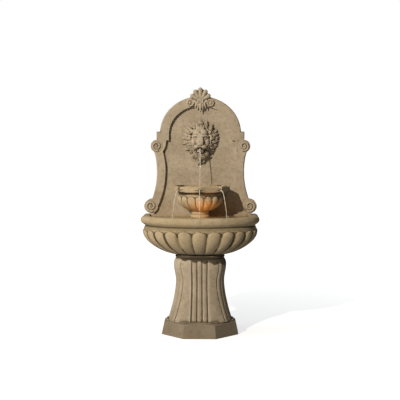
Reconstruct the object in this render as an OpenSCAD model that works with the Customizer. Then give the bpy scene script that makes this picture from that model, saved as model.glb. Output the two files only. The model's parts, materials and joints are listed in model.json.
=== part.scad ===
// Lion floor fountain: a reeded pedestal carries a gadrooned half-oval basin, a scrolled back
// panel with a lion mask and a shell crest, and a small notched spill bowl on its own foot.
// A pump in the basin lifts the water behind the panel to the lion's mouth.
// The front faces -Y, the back is flat, and the origin is at the middle of the ground face.

/* [Plinth] */
// Width of the plinth at the ground
plinth_w = 457.2; // [440:1:475]
// Depth of the plinth at the ground
plinth_d = 368; // [360:1:385]
// Length of each leg of the 45 degree corners
plinth_corner = 132; // [110:1:140]
// Height of the sloping block of the plinth
plinth_block_h = 68; // [55:1:80]
// How far the block draws in towards its top
plinth_draft = 15; // [8:1:18]
// Height of the curved moulding above the block
plinth_mould_h = 22; // [16:1:28]
// How far the moulding steps in
plinth_mould_in = 17; // [12:1:20]

/* [Pedestal shaft] */
// Height of the shaft above the plinth
shaft_h = 385; // [370:1:400]
// Half width at the foot of the shaft
shaft_base_r = 191; // [185:1:193]
// Half width at the waist
shaft_waist_r = 145; // [141:1:150]
// Height of the waist above the plinth
shaft_waist_h = 228; // [215:1:240]
// Half width at the shoulder
shaft_shoulder_r = 158; // [154:1:162]
// Height of the shoulder above the plinth
shaft_shoulder_h = 328; // [322:1:334]
// Half width of the groove under the neck ring
shaft_neck_r = 141; // [138:1:143]
// How much the neck ring stands out of its groove
neck_ring_out = 7; // [4:1:8]
// Depth of the shaft as a share of its width
shaft_squash = 0.77; // [0.76:0.01:0.78]
// Squareness of the shaft's section, 2 for an ellipse
shaft_square = 2.6; // [2.2:0.1:3]
// Width of one reed at the waist
reed_w = 29; // [25:1:31]
// Depth of the grooves between the reeds
reed_depth = 9; // [5:1:11]
// Radius of the hollow at the ground
hollow_base_r = 118; // [105:1:120]
// Radius of the hollow at the waist and above
hollow_top_r = 88; // [86:1:89]

/* [Basin] */
// Width over the rim
basin_w = 711.2; // [700:1:720]
// Depth from the front of the rim to the flat back
basin_d = 406.4; // [400:1:412]
// Height from the seat to the top of the rim
basin_h = 227; // [222:1:232]
// Distance from the flat back to where the sides begin to curve
basin_side_d = 183; // [175:1:190]
// Radius of the half-round rim
rim_r = 23; // [20:1:25]
// Half width at the bottom
basin_seat_r = 160; // [156:1:166]
// Half width of the lobed belly
belly_r = 343; // [338:1:346]
// Height of the widest part of the belly above the seat
belly_h = 139; // [134:1:143]
// Height of the tops of the lobes above the seat
lobe_top_h = 147; // [145:1:149]
// Depth of the creases between the lobes
lobe_depth = 19; // [12:1:21]
// Lobes from the middle of the front to the middle of a side
lobes_front = 6; // [5:1:7]
// Lobes along the straight part of a side
lobes_side = 2.5; // [1.5:1:3.5]
// Half width of the groove under the rim
rim_neck_r = 326; // [322:1:328]
// Thickness of the basin floor
floor_t = 50; // [44:1:54]
// Half width of the pool at its floor
pool_floor_r = 240; // [238:1:244]
// Half width of the pool at the rim
pool_top_r = 305; // [300:1:308]
// Depth of the ledge behind the pool
ledge_d = 81; // [79:1:83]
// Thickness of the rubber pads under the basin
pad_t = 3; // [2:0.5:4]
// Radius of one pad
pad_r = 8; // [6:1:9]

/* [Back panel] */
// Height from the ledge to the top of the arch
panel_h = 717; // [700:1:730]
// Half width of the arch
arch_r = 246; // [240:1:250]
// Rise of the arch
arch_rise = 222; // [215:1:228]
// Half width of the shoulder step
step_r = 267; // [262:1:270]
// Height of the shoulder step
step_h = 50; // [42:1:56]
// Thickness of the panel behind the sunk field
field_t = 53; // [52:1:55]
// How far the border stands out of the field
border_out = 22; // [18:1:26]
// Width of the chamfer along the outer edge of the border
border_chamfer = 6; // [3:1:8]
// Radius of the upper scrolls
upper_scroll_r = 38; // [35:1:40]
// Radius of the lower scrolls
lower_scroll_r = 43; // [38:1:44]
// How far the scrolls stand out of the border
scroll_out = 7; // [4:1:9]
// Half width at the waist of the panel
panel_waist_r = 265; // [260:1:268]
// Half width of the panel's feet
panel_foot_r = 304; // [300:1:306]
// Half width of the sunk field in its arch
field_r = 192; // [188:1:196]
// Half width of the sunk field at its waist
field_waist_r = 212; // [208:1:215]

/* [Crest] */
// Rise of the shell above the arch
crest_rise = 51.2; // [46:1:55]
// Radius of the scrolls beside the shell
crest_scroll_r = 23; // [20:1:25]

/* [Lion mask] */
// Height of the mouth above the ledge
mouth_h = 398; // [390:1:405]
// How far the nose stands out of the field
nose_out = 94; // [90:1:98]

/* [Spill bowl] */
// Radius to the corners of the eight-sided rim
bowl_r = 178; // [172:1:180]
// Distance from the middle of the bowl to its flat back
bowl_back_d = 99; // [97:1:99]
// Height of the rim band
bowl_rim_h = 37; // [32:1:42]
// Thickness of the rim band
bowl_wall = 22; // [18:1:26]
// Half width of the lobed body
bowl_body_r = 141; // [136:1:144]
// Height of the lobed body with the neck under the rim
bowl_body_h = 111; // [106:1:116]
// Number of lobes round the bowl
bowl_lobes = 16; // [14:2:18]
// Depth of the creases between them
bowl_lobe_depth = 8; // [5:1:9]
// Width of the spill notches
notch_w = 24; // [14:1:28]
// Depth of the spill notches
notch_h = 22; // [14:1:24]
// Height of the bowl's seat above the rim of the basin
bowl_seat_h = 30; // [26:1:34]
// Radius of the foot under the bowl
foot_r = 53; // [50:1:56]
// Radius of the lower ring of the foot
foot_ring_r = 60; // [57:1:64]
// Radius of the peg that centres the bowl
peg_r = 26; // [22:1:28]
// Height of the peg
peg_h = 12; // [8:1:14]

/* [Pump] */
// Length of the motor
motor_l = 65; // [60:1:68]
// Radius of the motor
motor_r = 27; // [26:1:28]
// Radius of the rotor
rotor_r = 10.4; // [9:0.1:11]
// Length of the impeller chamber
chamber_l = 25; // [24:1:27]
// Radius inside the chamber
chamber_r = 20; // [19:0.5:20.5]
// Wall of the chamber
chamber_wall = 6; // [5:0.5:7]
// Length of the strainer cover
cover_l = 20; // [16:1:22]
// Radius of the pump shaft
pump_shaft_r = 2; // [1.5:0.1:2.4]
// Height of the pump's axis above the floor
pump_axis_h = 41; // [40:1:43]
// Height of the suction feet
cup_h = 13; // [12:0.5:13]
// Radius of the suction feet
cup_r = 10; // [8:1:11]

/* [Hose] */
// Outer radius of the hose
hose_r = 7; // [6.6:0.1:7.2]
// Bore radius of the hose
hose_bore_r = 5; // [4.6:0.1:5.2]
// Radius of the bend under the panel
hose_bend_r = 56; // [54:1:58]
// Straight run of the hose up to the mouth
hose_straight_l = 77; // [72:1:82]
// Angle of the slanting run behind the panel
hose_slant = 40; // [36:1:42]
// Distance of the hose from the flat back
hose_in = 20; // [19.5:0.1:20.5]
// Width of the chase that the hose lies in
chase_w = 40; // [36:1:44]

/* [Light] */
// Radius of the light's head
light_r = 24; // [22:1:25]
// Length of the light's head
light_l = 44; // [40:1:48]
// Height of the light's pivot above the floor
light_pivot_h = 47; // [45:1:52]
// How far the head leans back at rest
light_lean = 25; // [15:1:30]

/* [Drain] */
// Bore radius of the drain
drain_bore_r = 9; // [8:0.5:9.5]
// Radius of the drain's flange
drain_flange_r = 16; // [15:0.5:17]
// Length of the drain's tail under the basin
drain_tail = 30; // [24:1:36]

/* [Fits] */
// Running clearance of shafts and stems
run_gap = 0.05; // [0.03:0.01:0.09]
// Clearance between pieces that lift, slide or turn past each other
slip_gap = 0.3; // [0.3:0.05:0.4]
// Clearance of pins and tubes in cast holes
cast_gap = 0.2; // [0.1:0.05:0.3]

/* [Hidden] */
$fn = 64;

stone = "#b09c7d";
dark_plastic = "#26282a";
steel = "#b9bcc0";
brass = "#b08d4a";

// Levels and planes that several pieces share
back_y = basin_d / 2;
plinth_y = back_y - plinth_d / 2;
plinth_top = plinth_block_h + plinth_mould_h;
shaft_top = plinth_top + shaft_h;
seat_z = shaft_top + pad_t;
rim_z = seat_z + basin_h;
floor_z = seat_z + floor_t;
side_y = back_y - basin_side_d;
ledge_y = back_y - ledge_d;
field_y = back_y - field_t;
border_y = field_y - border_out;
arch_z = rim_z + panel_h - arch_rise;
mouth_z = rim_z + mouth_h;
bowl_y = field_y - 1 - bowl_back_d;
bowl_z = rim_z + bowl_seat_h;
bowl_rim_z = bowl_z + bowl_body_h;

// Mean of the points of a ring
function middle(ring) = [for (c = [0:2]) [for (p = ring) p[c]] * [for (p = ring) 1] / len(ring)];

// Solid through a stack of rings that run anticlockwise seen from above
module skin(rings) {
    n = len(rings[0]);
    m = len(rings);
    points = concat([for (ring = rings) each ring], [middle(rings[0]), middle(rings[m - 1])]);
    sides = [for (j = [0:m - 2]) for (i = [0:n - 1]) let (k = (i + 1) % n, a = j * n, b = a + n)
        each [[a + i, b + k, a + k], [a + i, b + i, b + k]]];
    caps = [for (i = [0:n - 1]) let (k = (i + 1) % n, a = (m - 1) * n)
        each [[m * n, i, k], [m * n + 1, a + k, a + i]]];
    polyhedron(points, concat(sides, caps));
}

// Tube through a loop of rings, out along its outside and back along its bore
module looped_skin(rings) {
    n = len(rings[0]);
    m = len(rings);
    polyhedron([for (ring = rings) each ring],
        [for (j = [0:m - 1]) for (i = [0:n - 1]) let (k = (i + 1) % n, a = j * n, b = (j + 1) % m * n)
            each [[a + i, b + k, a + k], [a + i, b + i, b + k]]]);
}

// Rod along X, Y or Z
module rod(r, l, axis = "z") {
    turn = axis == "x" ? [0, 90, 0] : axis == "y" ? [-90, 0, 0] : [0, 0, 0];
    rotate(turn) cylinder(r = r, h = l);
}

// Whole outline from its right half, which ends on the middle line
function both_sides(half) =
    concat(half, [for (i = [len(half) - 2:-1:0]) [-half[i][0], half[i][1]]]);

// Plinth and pedestal

function octagon(w, d, corner, inset, z) =
    let (x = w / 2 - inset, y = d / 2 - inset, c = corner - inset * (2 - sqrt(2)))
    [for (p = [[-x + c, -y], [x - c, -y], [x, -y + c], [x, y - c], [x - c, y], [-x + c, y],
        [-x, y - c], [-x, -y + c]]) [p[0], p[1] + plinth_y, z]];

module plinth() {
    steps = 5;
    skin(concat([octagon(plinth_w, plinth_d, plinth_corner, 0, 0)],
        [for (i = [0:steps]) let (a = 90 * i / steps)
            octagon(plinth_w, plinth_d, plinth_corner,
                plinth_draft + plinth_mould_in * (1 - cos(a)),
                plinth_block_h + plinth_mould_h * sin(a))]));
}

// Half width of the shaft at a height above the plinth
function shaft_r(h) =
    h < shaft_waist_h
        ? shaft_waist_r + (shaft_base_r - shaft_waist_r) * pow(1 - h / shaft_waist_h, 1.6)
        : h < shaft_shoulder_h
            ? shaft_waist_r + (shaft_shoulder_r - shaft_waist_r)
                * pow(sin(90 * (h - shaft_waist_h) / (shaft_shoulder_h - shaft_waist_h)), 2)
            : shaft_neck_r + (shaft_shoulder_r - shaft_neck_r)
                * sqrt(1 - pow(min(1, (h - shaft_shoulder_h) / shaft_round_h), 2));

neck_ring_h = 18;
shaft_round_h = shaft_h - neck_ring_h - 3 - shaft_shoulder_h;

function square_y(x, a, b) = b * pow(1 - pow(abs(x) / a, shaft_square), 1 / shaft_square);

// Crowns, flanks and grooves from the middle of a group, in reed widths: three in front, five on a side
reed_steps = [[0, 1], [0.3, 0.8], [0.5, 0], [0.7, 0.8], [1, 1], [1.3, 0.8], [1.5, 0]];
side_steps = concat(reed_steps, [[1.7, 0.8], [2, 1], [2.3, 0.8], [2.5, 0]]);
reed_edge = 1.75;
side_reed_edge = 2.75;

// Right half of the shaft's section, from the middle of the front to the middle of the back
function half_section(a, depth) =
    let (b = a * shaft_squash,
        pitch = reed_w * (1 + 0.4 * (a / shaft_waist_r - 1)),
        front_edge = asin(pow(reed_edge * pitch / a, shaft_square / 2)),
        side_edge = acos(pow(side_reed_edge * pitch / b, shaft_square / 2)),
        power = 2 / shaft_square)
    concat(
        [for (s = reed_steps) let (x = s[0] * pitch) [x, -square_y(x, a, b) + depth * (1 - s[1])]],
        [for (i = [0:4]) let (t = front_edge + (side_edge - front_edge) * i / 4)
            [a * pow(sin(t), power), -b * pow(cos(t), power)]],
        [for (i = [10:-1:0]) let (s = side_steps[i], y = s[0] * pitch)
            [square_y(y, b, a) - depth * (1 - s[1]), -y]],
        [for (i = [1:10]) let (s = side_steps[i], y = s[0] * pitch)
            [square_y(y, b, a) - depth * (1 - s[1]), y]],
        [for (i = [4:-1:0]) let (t = side_edge * i / 4)
            [a * pow(sin(t), power), b * pow(cos(t), power)]]);

function shaft_ring(h, a, depth) =
    let (half = half_section(a, depth), last = len(half) - 2)
    [for (p = concat(half, [for (i = [last:-1:1]) [-half[i][0], half[i][1]]]))
        [p[0], p[1] + plinth_y, plinth_top + h]];

module shaft() {
    lower = [for (i = [0:7]) shaft_waist_h * i / 8];
    middle = [for (i = [0:4]) shaft_waist_h + (shaft_shoulder_h - shaft_waist_h) * i / 4];
    upper = [for (i = [1:4]) shaft_shoulder_h + shaft_round_h * sin(90 * i / 4)];
    reeded = concat(lower, middle, upper);
    fade_h = shaft_shoulder_h + shaft_round_h * 0.6;
    skin(concat(
        [shaft_ring(-4, shaft_base_r, reed_depth)],
        [for (h = reeded) shaft_ring(h, shaft_r(h), reed_depth
            * (h < fade_h ? 1 : max(0, 1 - (h - fade_h) / (shaft_h - neck_ring_h - 6 - fade_h))))],
        [for (i = [0:4]) shaft_ring(shaft_h - neck_ring_h + neck_ring_h * i / 4,
            shaft_neck_r + neck_ring_out * sin(45 * i), 0)]));
}

module pedestal() {
    color(stone) difference() {
        union() {
            plinth();
            shaft();
        }
        translate([0, plinth_y, 0]) rotate_extrude() polygon([[0, -1], [hollow_base_r, -1],
            [hollow_base_r, plinth_top], [hollow_top_r, plinth_top + shaft_waist_h],
            [hollow_top_r, shaft_top + 1], [0, shaft_top + 1]]);
    }
}

module basin_pads() {
    across = (shaft_neck_r + hollow_top_r) / 2;
    along = (shaft_neck_r * shaft_squash + hollow_top_r) / 2;
    color("#3a3a38") for (p = [[across, 0], [-across, 0], [0, along], [0, -along]])
        translate([p[0], plinth_y + p[1], shaft_top]) cylinder(r = pad_r, h = pad_t);
}

// Basin

basin_b = side_y + back_y;
lobe_turn = 90 / lobes_front;
columns_per_lobe = 4;
lobe_end = lobes_front + lobes_side;

// Point of the half-oval plan at lobe number s from the front, pushed outwards by out
function plan_point(s, w, b, out) =
    abs(s) < lobes_front
        ? let (t = s * lobe_turn, n = [sin(t) / w, -cos(t) / b])
            [w * sin(t), side_y - b * cos(t)] + n / norm(n) * out
        : [sign(s) * (w + out), side_y + (abs(s) - lobes_front) / lobes_side * basin_side_d];

// How full a lobe is at lobe number s, where head runs from 0 at its rounded top to 1
function fullness(s, head) =
    let (f = 2 * abs(s - round(s)), width = sqrt(max(0, 1 - pow(1 - min(1, head), 2))))
    width <= f ? 0 : sqrt(1 - pow(f / width, 2));

function basin_ring(z, w, b, depth = 0, head = 0) =
    [for (i = [0:2 * lobe_end * columns_per_lobe]) let (s = -lobe_end + i / columns_per_lobe,
        p = plan_point(s, w, b, -depth * (1 - fullness(s, head)))) [p[0], p[1], z]];

function belly_w(h) = basin_seat_r + (belly_r - basin_seat_r)
    * pow(1 - pow(1 - min(1, h / belly_h), 2), 0.8);

module basin_shell() {
    oval = basin_b / (basin_w / 2);
    head_h = 28;
    band_in = 7;
    band_w = belly_r - band_in;
    rim_mid = rim_z - rim_r;
    rim_start = basin_w / 2 - rim_r;
    belly_steps = [0, 0.05, 0.12, 0.22, 0.34, 0.47, 0.6, 0.72];
    head_steps = [0.8, 0.5, 0.25, 0.08];
    skin(concat(
        [for (t = belly_steps) let (h = t * lobe_top_h, w = belly_w(h))
            basin_ring(seat_z + h, w, w * oval, lobe_depth * min(1, 0.35 + 2 * t), 1)],
        [for (t = head_steps) let (h = lobe_top_h - head_h * t, w = belly_w(h))
            basin_ring(seat_z + h, w, w * oval, band_in + (lobe_depth - band_in) * t, t)],
        [basin_ring(seat_z + lobe_top_h, band_w, band_w * oval),
            basin_ring(seat_z + lobe_top_h + 10, band_w, band_w * oval),
            basin_ring(seat_z + lobe_top_h + 19, band_w - 3, (band_w - 3) * oval),
            basin_ring(seat_z + lobe_top_h + 24, rim_neck_r, rim_neck_r * oval)],
        [for (a = [-67.5:22.5:67.5]) let (w = rim_start + rim_r * cos(a))
            basin_ring(rim_mid + rim_r * sin(a), w, w * oval)],
        [basin_ring(rim_z, rim_start, rim_start * oval), pool_ring(rim_z, pool_top_r),
            pool_ring(floor_z + 60, (pool_floor_r + 2 * pool_top_r) / 3),
            pool_ring(floor_z, pool_floor_r)]));
}

// Ring of the pool, a smaller half oval whose sides end at the ledge
function pool_ring(z, w) =
    let (b = w * basin_b / (basin_w / 2), squeeze = (ledge_y - side_y) / basin_side_d)
    [for (p = basin_ring(z, w, b)) [p[0], min(p[1], side_y + (p[1] - side_y) * squeeze), z]];

pump_x = -167;
pump_y = 30;
pump_z = floor_z + pump_axis_h;
tunnel_w = 40;
tunnel_h = 50;
well_y = back_y - hose_in - 22;
well_back = 7;
drain_x = 62;
drain_y = bowl_y - 54;
drain_r = drain_bore_r + 3;
drain_nut_h = 8;
dowel_x = 230;
dowel_y = back_y - 26;
dowel_r = 6;
dowel_l = 80;

module basin() {
    color(stone) difference() {
        basin_shell();
        translate([pump_x - tunnel_w / 2, ledge_y - 10, pump_z - tunnel_w / 2])
            cube([tunnel_w, back_y - well_back - ledge_y + 10, tunnel_h]);
        translate([pump_x - tunnel_w / 2, well_y, pump_z - tunnel_w / 2])
            cube([tunnel_w, back_y - well_back - well_y, rim_z - pump_z + tunnel_w]);
        translate([drain_x, drain_y, seat_z - 1]) cylinder(r = drain_r + cast_gap, h = floor_t + 2);
        for (side = [-1, 1]) translate([side * dowel_x, dowel_y, rim_z - dowel_l / 2 - 1])
            cylinder(r = dowel_r + cast_gap, h = dowel_l / 2 + 2);
    }
}

module panel_dowels() {
    color(steel) for (side = [-1, 1])
        translate([side * dowel_x, dowel_y, rim_z - dowel_l / 2]) cylinder(r = dowel_r, h = dowel_l);
}

// Back panel

lower_scroll = [301, rim_z + 49];
upper_scroll = [265, rim_z + 415];
waist_z = rim_z + 262;
step_z = upper_scroll[1] + upper_scroll_r + step_h;
side_low_z = lower_scroll[1] + lower_scroll_r + 26;
side_high_z = upper_scroll[1] - upper_scroll_r - 8;

// Right half of the panel's outline from its foot to the top of the arch, drawn in by inset
function panel_side_x(z) = panel_waist_r + 21 * pow((z - waist_z) / 140, 2);

function panel_half(inset) = concat(
    [[panel_foot_r - inset, rim_z], [panel_foot_r - inset, lower_scroll[1]],
        [lower_scroll[0] - 4 - inset, lower_scroll[1] + lower_scroll_r - 3]],
    [for (i = [0:8]) let (z = side_low_z + (side_high_z - side_low_z) * i / 8)
        [panel_side_x(z) - inset, z]],
    [[upper_scroll[0] + 21 - inset, upper_scroll[1] - 29], [upper_scroll[0] - inset, upper_scroll[1]],
        [step_r - inset, upper_scroll[1] + upper_scroll_r - 6],
        [step_r - inset, step_z - inset], [arch_r - inset, step_z - inset]],
    [for (a = [5:5:90]) [(arch_r - inset) * cos(a), arch_z + (arch_rise - inset) * sin(a)]]);

// Right half of the sunk field's outline
field_step_z = arch_z - 46;
function field_half() = concat(
    [[field_waist_r + 76, rim_z - 1]],
    [for (i = [0:7]) let (t = i / 7, z = rim_z + 14 + (waist_z + 20 - rim_z) * t)
        [field_waist_r + 66 * pow(1 - t, 2.4), z]],
    [[field_waist_r + 9, upper_scroll[1] - 58], [field_waist_r + 18, upper_scroll[1] - 34],
        [field_waist_r + 7, upper_scroll[1] - 16], [field_waist_r, upper_scroll[1] + 4],
        [field_r + 16, field_step_z], [field_r, field_step_z]],
    [for (a = [0:6:90]) [field_r * cos(a), arch_z - 7 + (arch_rise - 51) * sin(a)]]);

module wall_plate(half, y0, y1) {
    translate([0, y1, 0]) rotate([90, 0, 0]) linear_extrude(y1 - y0) polygon(both_sides(half));
}

function wall_ring(half, y) = [for (p = both_sides(half)) [p[0], y, p[1]]];

// Raised spiral band on the face of a scroll
module spiral(r, turns, hand, height) {
    steps = 14 * turns;
    band = r * 0.2;
    function arm(i, shift) = let (a = 360 * turns * i / steps, q = (r - band / 2) * (1 - 0.78 * i / steps) + shift)
        [hand * q * cos(a + 200), q * sin(a + 200)];
    outer = [for (i = [0:steps]) arm(i, band / 2)];
    inner = [for (i = [steps:-1:0]) arm(i, -band / 2)];
    rotate([90, 0, 0]) linear_extrude(height) polygon(concat(outer, inner));
}

module scroll(at, r, hand, turns) {
    spiral_h = 4;
    face_y = border_y - scroll_out + spiral_h;
    translate([at[0], face_y, at[1]]) {
        rod(r, back_y - face_y, "y");
        translate([0, 1, 0]) spiral(r - 1, turns, hand, spiral_h + 1);
        translate([0, -spiral_h, 0]) rod(r * 0.24, spiral_h + 1, "y");
    }
}

// The hose leaves the pump, bends up in the ledge's well and sweeps behind the panel to the mask
hose_y = back_y - hose_in;
chase_y = hose_y - hose_r - 4;
chase_low_z = rim_z + 35;
slant_h = mouth_z - hose_straight_l - chase_low_z;
hose_sweep_r = (slant_h + pump_x / tan(hose_slant)) / (2 * tan(hose_slant / 2));
sweep_run = hose_sweep_r * (1 - cos(hose_slant));
slant_l = (-pump_x - 2 * sweep_run) / sin(hose_slant);
elbow_r = 9;
elbow_low_z = mouth_z - 15;
stud_x = 62;
stud_z = mouth_z + 72;
stud_r = 4;
nut_r = 7.5;
nut_h = 7;
nut_y = back_y - 15;
nut_well_r = 12;
crest_pin_x = 15;
crest_pin_z = arch_z + arch_rise - 24;
crest_pin_l = 40;

// Points of the hose's run behind the panel, [x, z, angle from the vertical], between two heights
sweep_steps = 4;
function behind_panel(low_z, high_z) = concat(
    [[pump_x, low_z, 0]],
    [for (i = [0:sweep_steps]) let (a = hose_slant * i / sweep_steps)
        [pump_x + hose_sweep_r * (1 - cos(a)), chase_low_z + hose_sweep_r * sin(a), a]],
    [for (i = [sweep_steps:-1:0]) let (a = hose_slant * i / sweep_steps)
        [-hose_sweep_r * (1 - cos(a)), chase_low_z + slant_h - hose_sweep_r * sin(a), a]],
    [[0, high_z, 0]]);

// Chase cut into the back of the panel for the hose
module hose_chase() {
    run = behind_panel(rim_z - 1, mouth_z + 25);
    half_w = chase_w / 2;
    last = len(run) - 1;
    translate([0, back_y + 1, 0]) rotate([90, 0, 0]) linear_extrude(back_y + 1 - chase_y) polygon(concat(
        [for (p = run) [p[0] + half_w * cos(p[2]), p[1] - half_w * sin(p[2])]],
        [for (i = [last:-1:0]) let (p = run[i]) [p[0] - half_w * cos(p[2]), p[1] + half_w * sin(p[2])]]));
}

module back_panel() {
    half = panel_half(0);
    color(stone) difference() {
        union() {
            skin([wall_ring(half, back_y), wall_ring(half, border_y + border_chamfer),
                wall_ring(panel_half(border_chamfer), border_y)]);
            for (side = [-1, 1]) {
                scroll([side * lower_scroll[0], lower_scroll[1]], lower_scroll_r, side, 2);
                scroll([side * upper_scroll[0], upper_scroll[1]], upper_scroll_r, side, 2);
            }
        }
        wall_plate(field_half(), border_y - 20, field_y);
        hose_chase();
        for (side = [-1, 1]) {
            translate([side * dowel_x, dowel_y, rim_z - 1])
                cylinder(r = dowel_r + cast_gap, h = dowel_l / 2 + 1);
            translate([side * stud_x, field_y - 1, stud_z]) rod(stud_r + cast_gap, field_t + 2, "y");
            translate([side * stud_x, nut_y, stud_z]) rod(nut_well_r, field_t, "y");
            translate([side * crest_pin_x, border_y - 1, crest_pin_z])
                rod(stud_r + cast_gap, crest_pin_l / 2 + 2, "y");
        }
        translate([0, field_y - 1, mouth_z]) rod(elbow_r + cast_gap, field_t - 10, "y");
    }
}

// Crest

module blob(at, r, fn = 8) {
    translate(at) sphere(r = r, $fn = fn);
}

module crest_shell() {
    hub_z = arch_z + arch_rise - 30;
    face_y = border_y - 8;
    lobe_r = 13;
    leaf_y = border_y - 6;
    top_z = arch_z + arch_rise + crest_rise - lobe_r * cos(18);
    color(stone) difference() {
        union() {
            for (side = [-1, 0, 1]) for (step = side == 0 ? [0] : [1, 2]) let (a = side * step * 29,
                l = (top_z - hub_z) * (step == 2 ? 0.85 : step == 1 ? 0.93 : 1)) {
                tip = [l * sin(a), face_y, hub_z + l * cos(a)];
                hull() {
                    blob([0, face_y - 6, hub_z], 8, 6);
                    blob([tip[0] * 0.6, face_y - 4, hub_z + (tip[2] - hub_z) * 0.6], 12, 6);
                    blob(tip, lobe_r, 10);
                    blob(tip + [0, 24, -4], lobe_r * 0.8);
                }
            }
            hull() for (a = [-58:29:58], y = [face_y + 6, face_y + 22])
                blob([46 * sin(a), y, hub_z + 46 * cos(a)], 10, 6);
            for (i = [-2:2]) hull() {
                blob([i * 13, leaf_y, hub_z - 12], 9, 6);
                blob([i * 17, leaf_y, hub_z - (i == 0 ? 46 : 32)], 7, 6);
                blob([i * 20, leaf_y + 3, hub_z - (i == 0 ? 67 : 48)], 3, 4);
            }
            hull() for (side = [-1, 1]) blob([side * 45, border_y - 2, hub_z - 10], 8, 6);
            for (i = [-1:1]) blob([i * 13, face_y - 8, hub_z - 6 - abs(i) * 3], 7, 8);
            for (side = [-1, 1]) translate([side * 61, face_y - 3, hub_z - 11]) {
                rod(crest_scroll_r, 24, "y", $fn = 24);
                spiral(crest_scroll_r - 1, 1.5, side, 4);
                translate([0, -5, 0]) rod(crest_scroll_r * 0.28, 6, "y", $fn = 16);
            }
        }
        wall_plate(panel_half(0), border_y, back_y);
        for (side = [-1, 1]) translate([side * crest_pin_x, border_y - crest_pin_l / 2, crest_pin_z])
            rod(stud_r + cast_gap, crest_pin_l, "y", $fn = 24);
    }
}

module crest_dowels() {
    color(steel) for (side = [-1, 1])
        translate([side * crest_pin_x, border_y - crest_pin_l / 2 + 1, crest_pin_z])
            rod(stud_r, crest_pin_l - 1, "y");
}

// Lion mask

mane_z = mouth_z + 47;
tube_r = 7;

// How far the mane reaches from its middle, with 0 towards +X and 90 upwards
function mane_reach(a) = a >= 0 ? 115 + 9 * sin(a) : 115 + 33 * pow(-sin(a), 3);

// Point of the mane at an angle, a share of its reach and a height above the field
function mane_point(a, share, out) =
    [mane_reach(a) * share * cos(a), field_y - out, mane_z + mane_reach(a) * share * sin(a)];

// Lock of the mane: [angle, share at its root, share at its tip, swing], then how far it stands out
module lock(way, root_out, tip_out, r) {
    a = way[0];
    swing = way[3];
    hull() {
        blob(mane_point(a, way[1], root_out), r, 5);
        blob(mane_point(a + swing * 0.4, (way[1] + way[2]) / 2, (root_out + tip_out) / 2 + 4), r * 0.9, 5);
        blob(mane_point(a + swing, way[2], tip_out), 3, 3);
    }
}

// One row of locks that swing away from the parting at the top
module lock_row(n, from, to, root_out, tip_out, r, swing) {
    for (i = [0:n - 1]) let (turned = -90 + (i + 0.5) * 360 / n, a = turned > 180 ? turned - 360 : turned,
        side = cos(a) < 0 ? -1 : 1)
        lock([a, from, to + 0.05 * sin(i * 137), side * swing], root_out, tip_out, r);
}

module mane() {
    lock_row(15, 0.62, 0.98, 24, 8, 15, 9);
    lock_row(12, 0.5, 0.8, 42, 26, 14, -11);
    lock_row(8, 0.42, 0.66, 56, 44, 12, 10);
    scaled_blob([0, field_y, mane_z + 4], [102, 26, 112], 14);
    scaled_blob([0, field_y, mane_z], [80, 46, 88], 14);
}

module scaled_blob(at, radii, fn = 12) {
    translate(at) scale(radii) sphere(r = 1, $fn = fn);
}

module face_half(side) {
    x = side;
    scaled_blob([x * 26, field_y - 58, mane_z - 8], [24, 26, 30]);
    scaled_blob([x * 13, field_y - 78, mane_z - 44], [17, 18, 14]);
    hull() {
        blob([x * 10, field_y - 74, mane_z + 34], 9, 8);
        blob([x * 36, field_y - 62, mane_z + 36], 7, 8);
    }
    blob([x * 30, field_y - 70, mane_z + 20], 8, 10);
    blob([x * 10, field_y - nose_out + 9, mane_z - 24], 8, 10);
}

module lion_mask() {
    color(stone) difference() {
        union() {
            mane();
            scaled_blob([0, field_y - 46, mane_z + 40], [50, 36, 46]);
            scaled_blob([0, field_y - 60, mane_z - 4], [38, 30, 52]);
            hull() {
                blob([0, field_y - 72, mane_z + 38], 11, 8);
                blob([0, field_y - nose_out + 12, mane_z - 20], 12, 10);
            }
            scaled_blob([0, field_y - 66, mane_z - 72], [20, 17, 13]);
            for (side = [-1, 1]) face_half(side);
            for (i = [-2:2]) hull() {
                blob([i * 13, field_y - 52, mane_z - 84], 9, 6);
                blob([i * 11, field_y - 30 + abs(i) * 4, mane_z - 128 + abs(i) * 12], 5, 6);
            }
        }
        translate([-150, field_y, mane_z - 180]) cube([300, 60, 360]);
        scaled_blob([0, field_y - 80, mouth_z], [19, 26, 9]);
        translate([0, field_y - nose_out - 1, mouth_z]) rod(tube_r + cast_gap, nose_out + 2, "y", $fn = 24);
        for (side = [-1, 1]) translate([side * stud_x, field_y - 24, stud_z])
            rod(stud_r + cast_gap, 26, "y", $fn = 16);
    }
}

module mask_studs() {
    color(steel) for (side = [-1, 1]) translate([side * stud_x, field_y - 22, stud_z])
        rod(stud_r, nut_y + nut_h + 3 - field_y + 22, "y");
}

module mask_nuts() {
    color(steel) for (side = [-1, 1]) translate([side * stud_x, nut_y, stud_z]) difference() {
        rotate([-90, 0, 0]) cylinder(r = nut_r, h = nut_h, $fn = 6);
        translate([0, -1, 0]) rod(stud_r + run_gap, nut_h + 2, "y");
    }
}

// Water way from the pump to the mouth

pump_nozzle_y = pump_y + chamber_r + chamber_wall + 4;
hose_start_y = pump_nozzle_y + 2;
barb_l = 16;

// Ring of the hose at a point, in the plane of the directions u and v
hose_sides = 16;
function hose_ring(at, u, v, r) = [for (i = [0:hose_sides - 1]) let (a = 360 * i / hose_sides)
    at + r * (cos(a) * u + sin(a) * v)];

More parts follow.
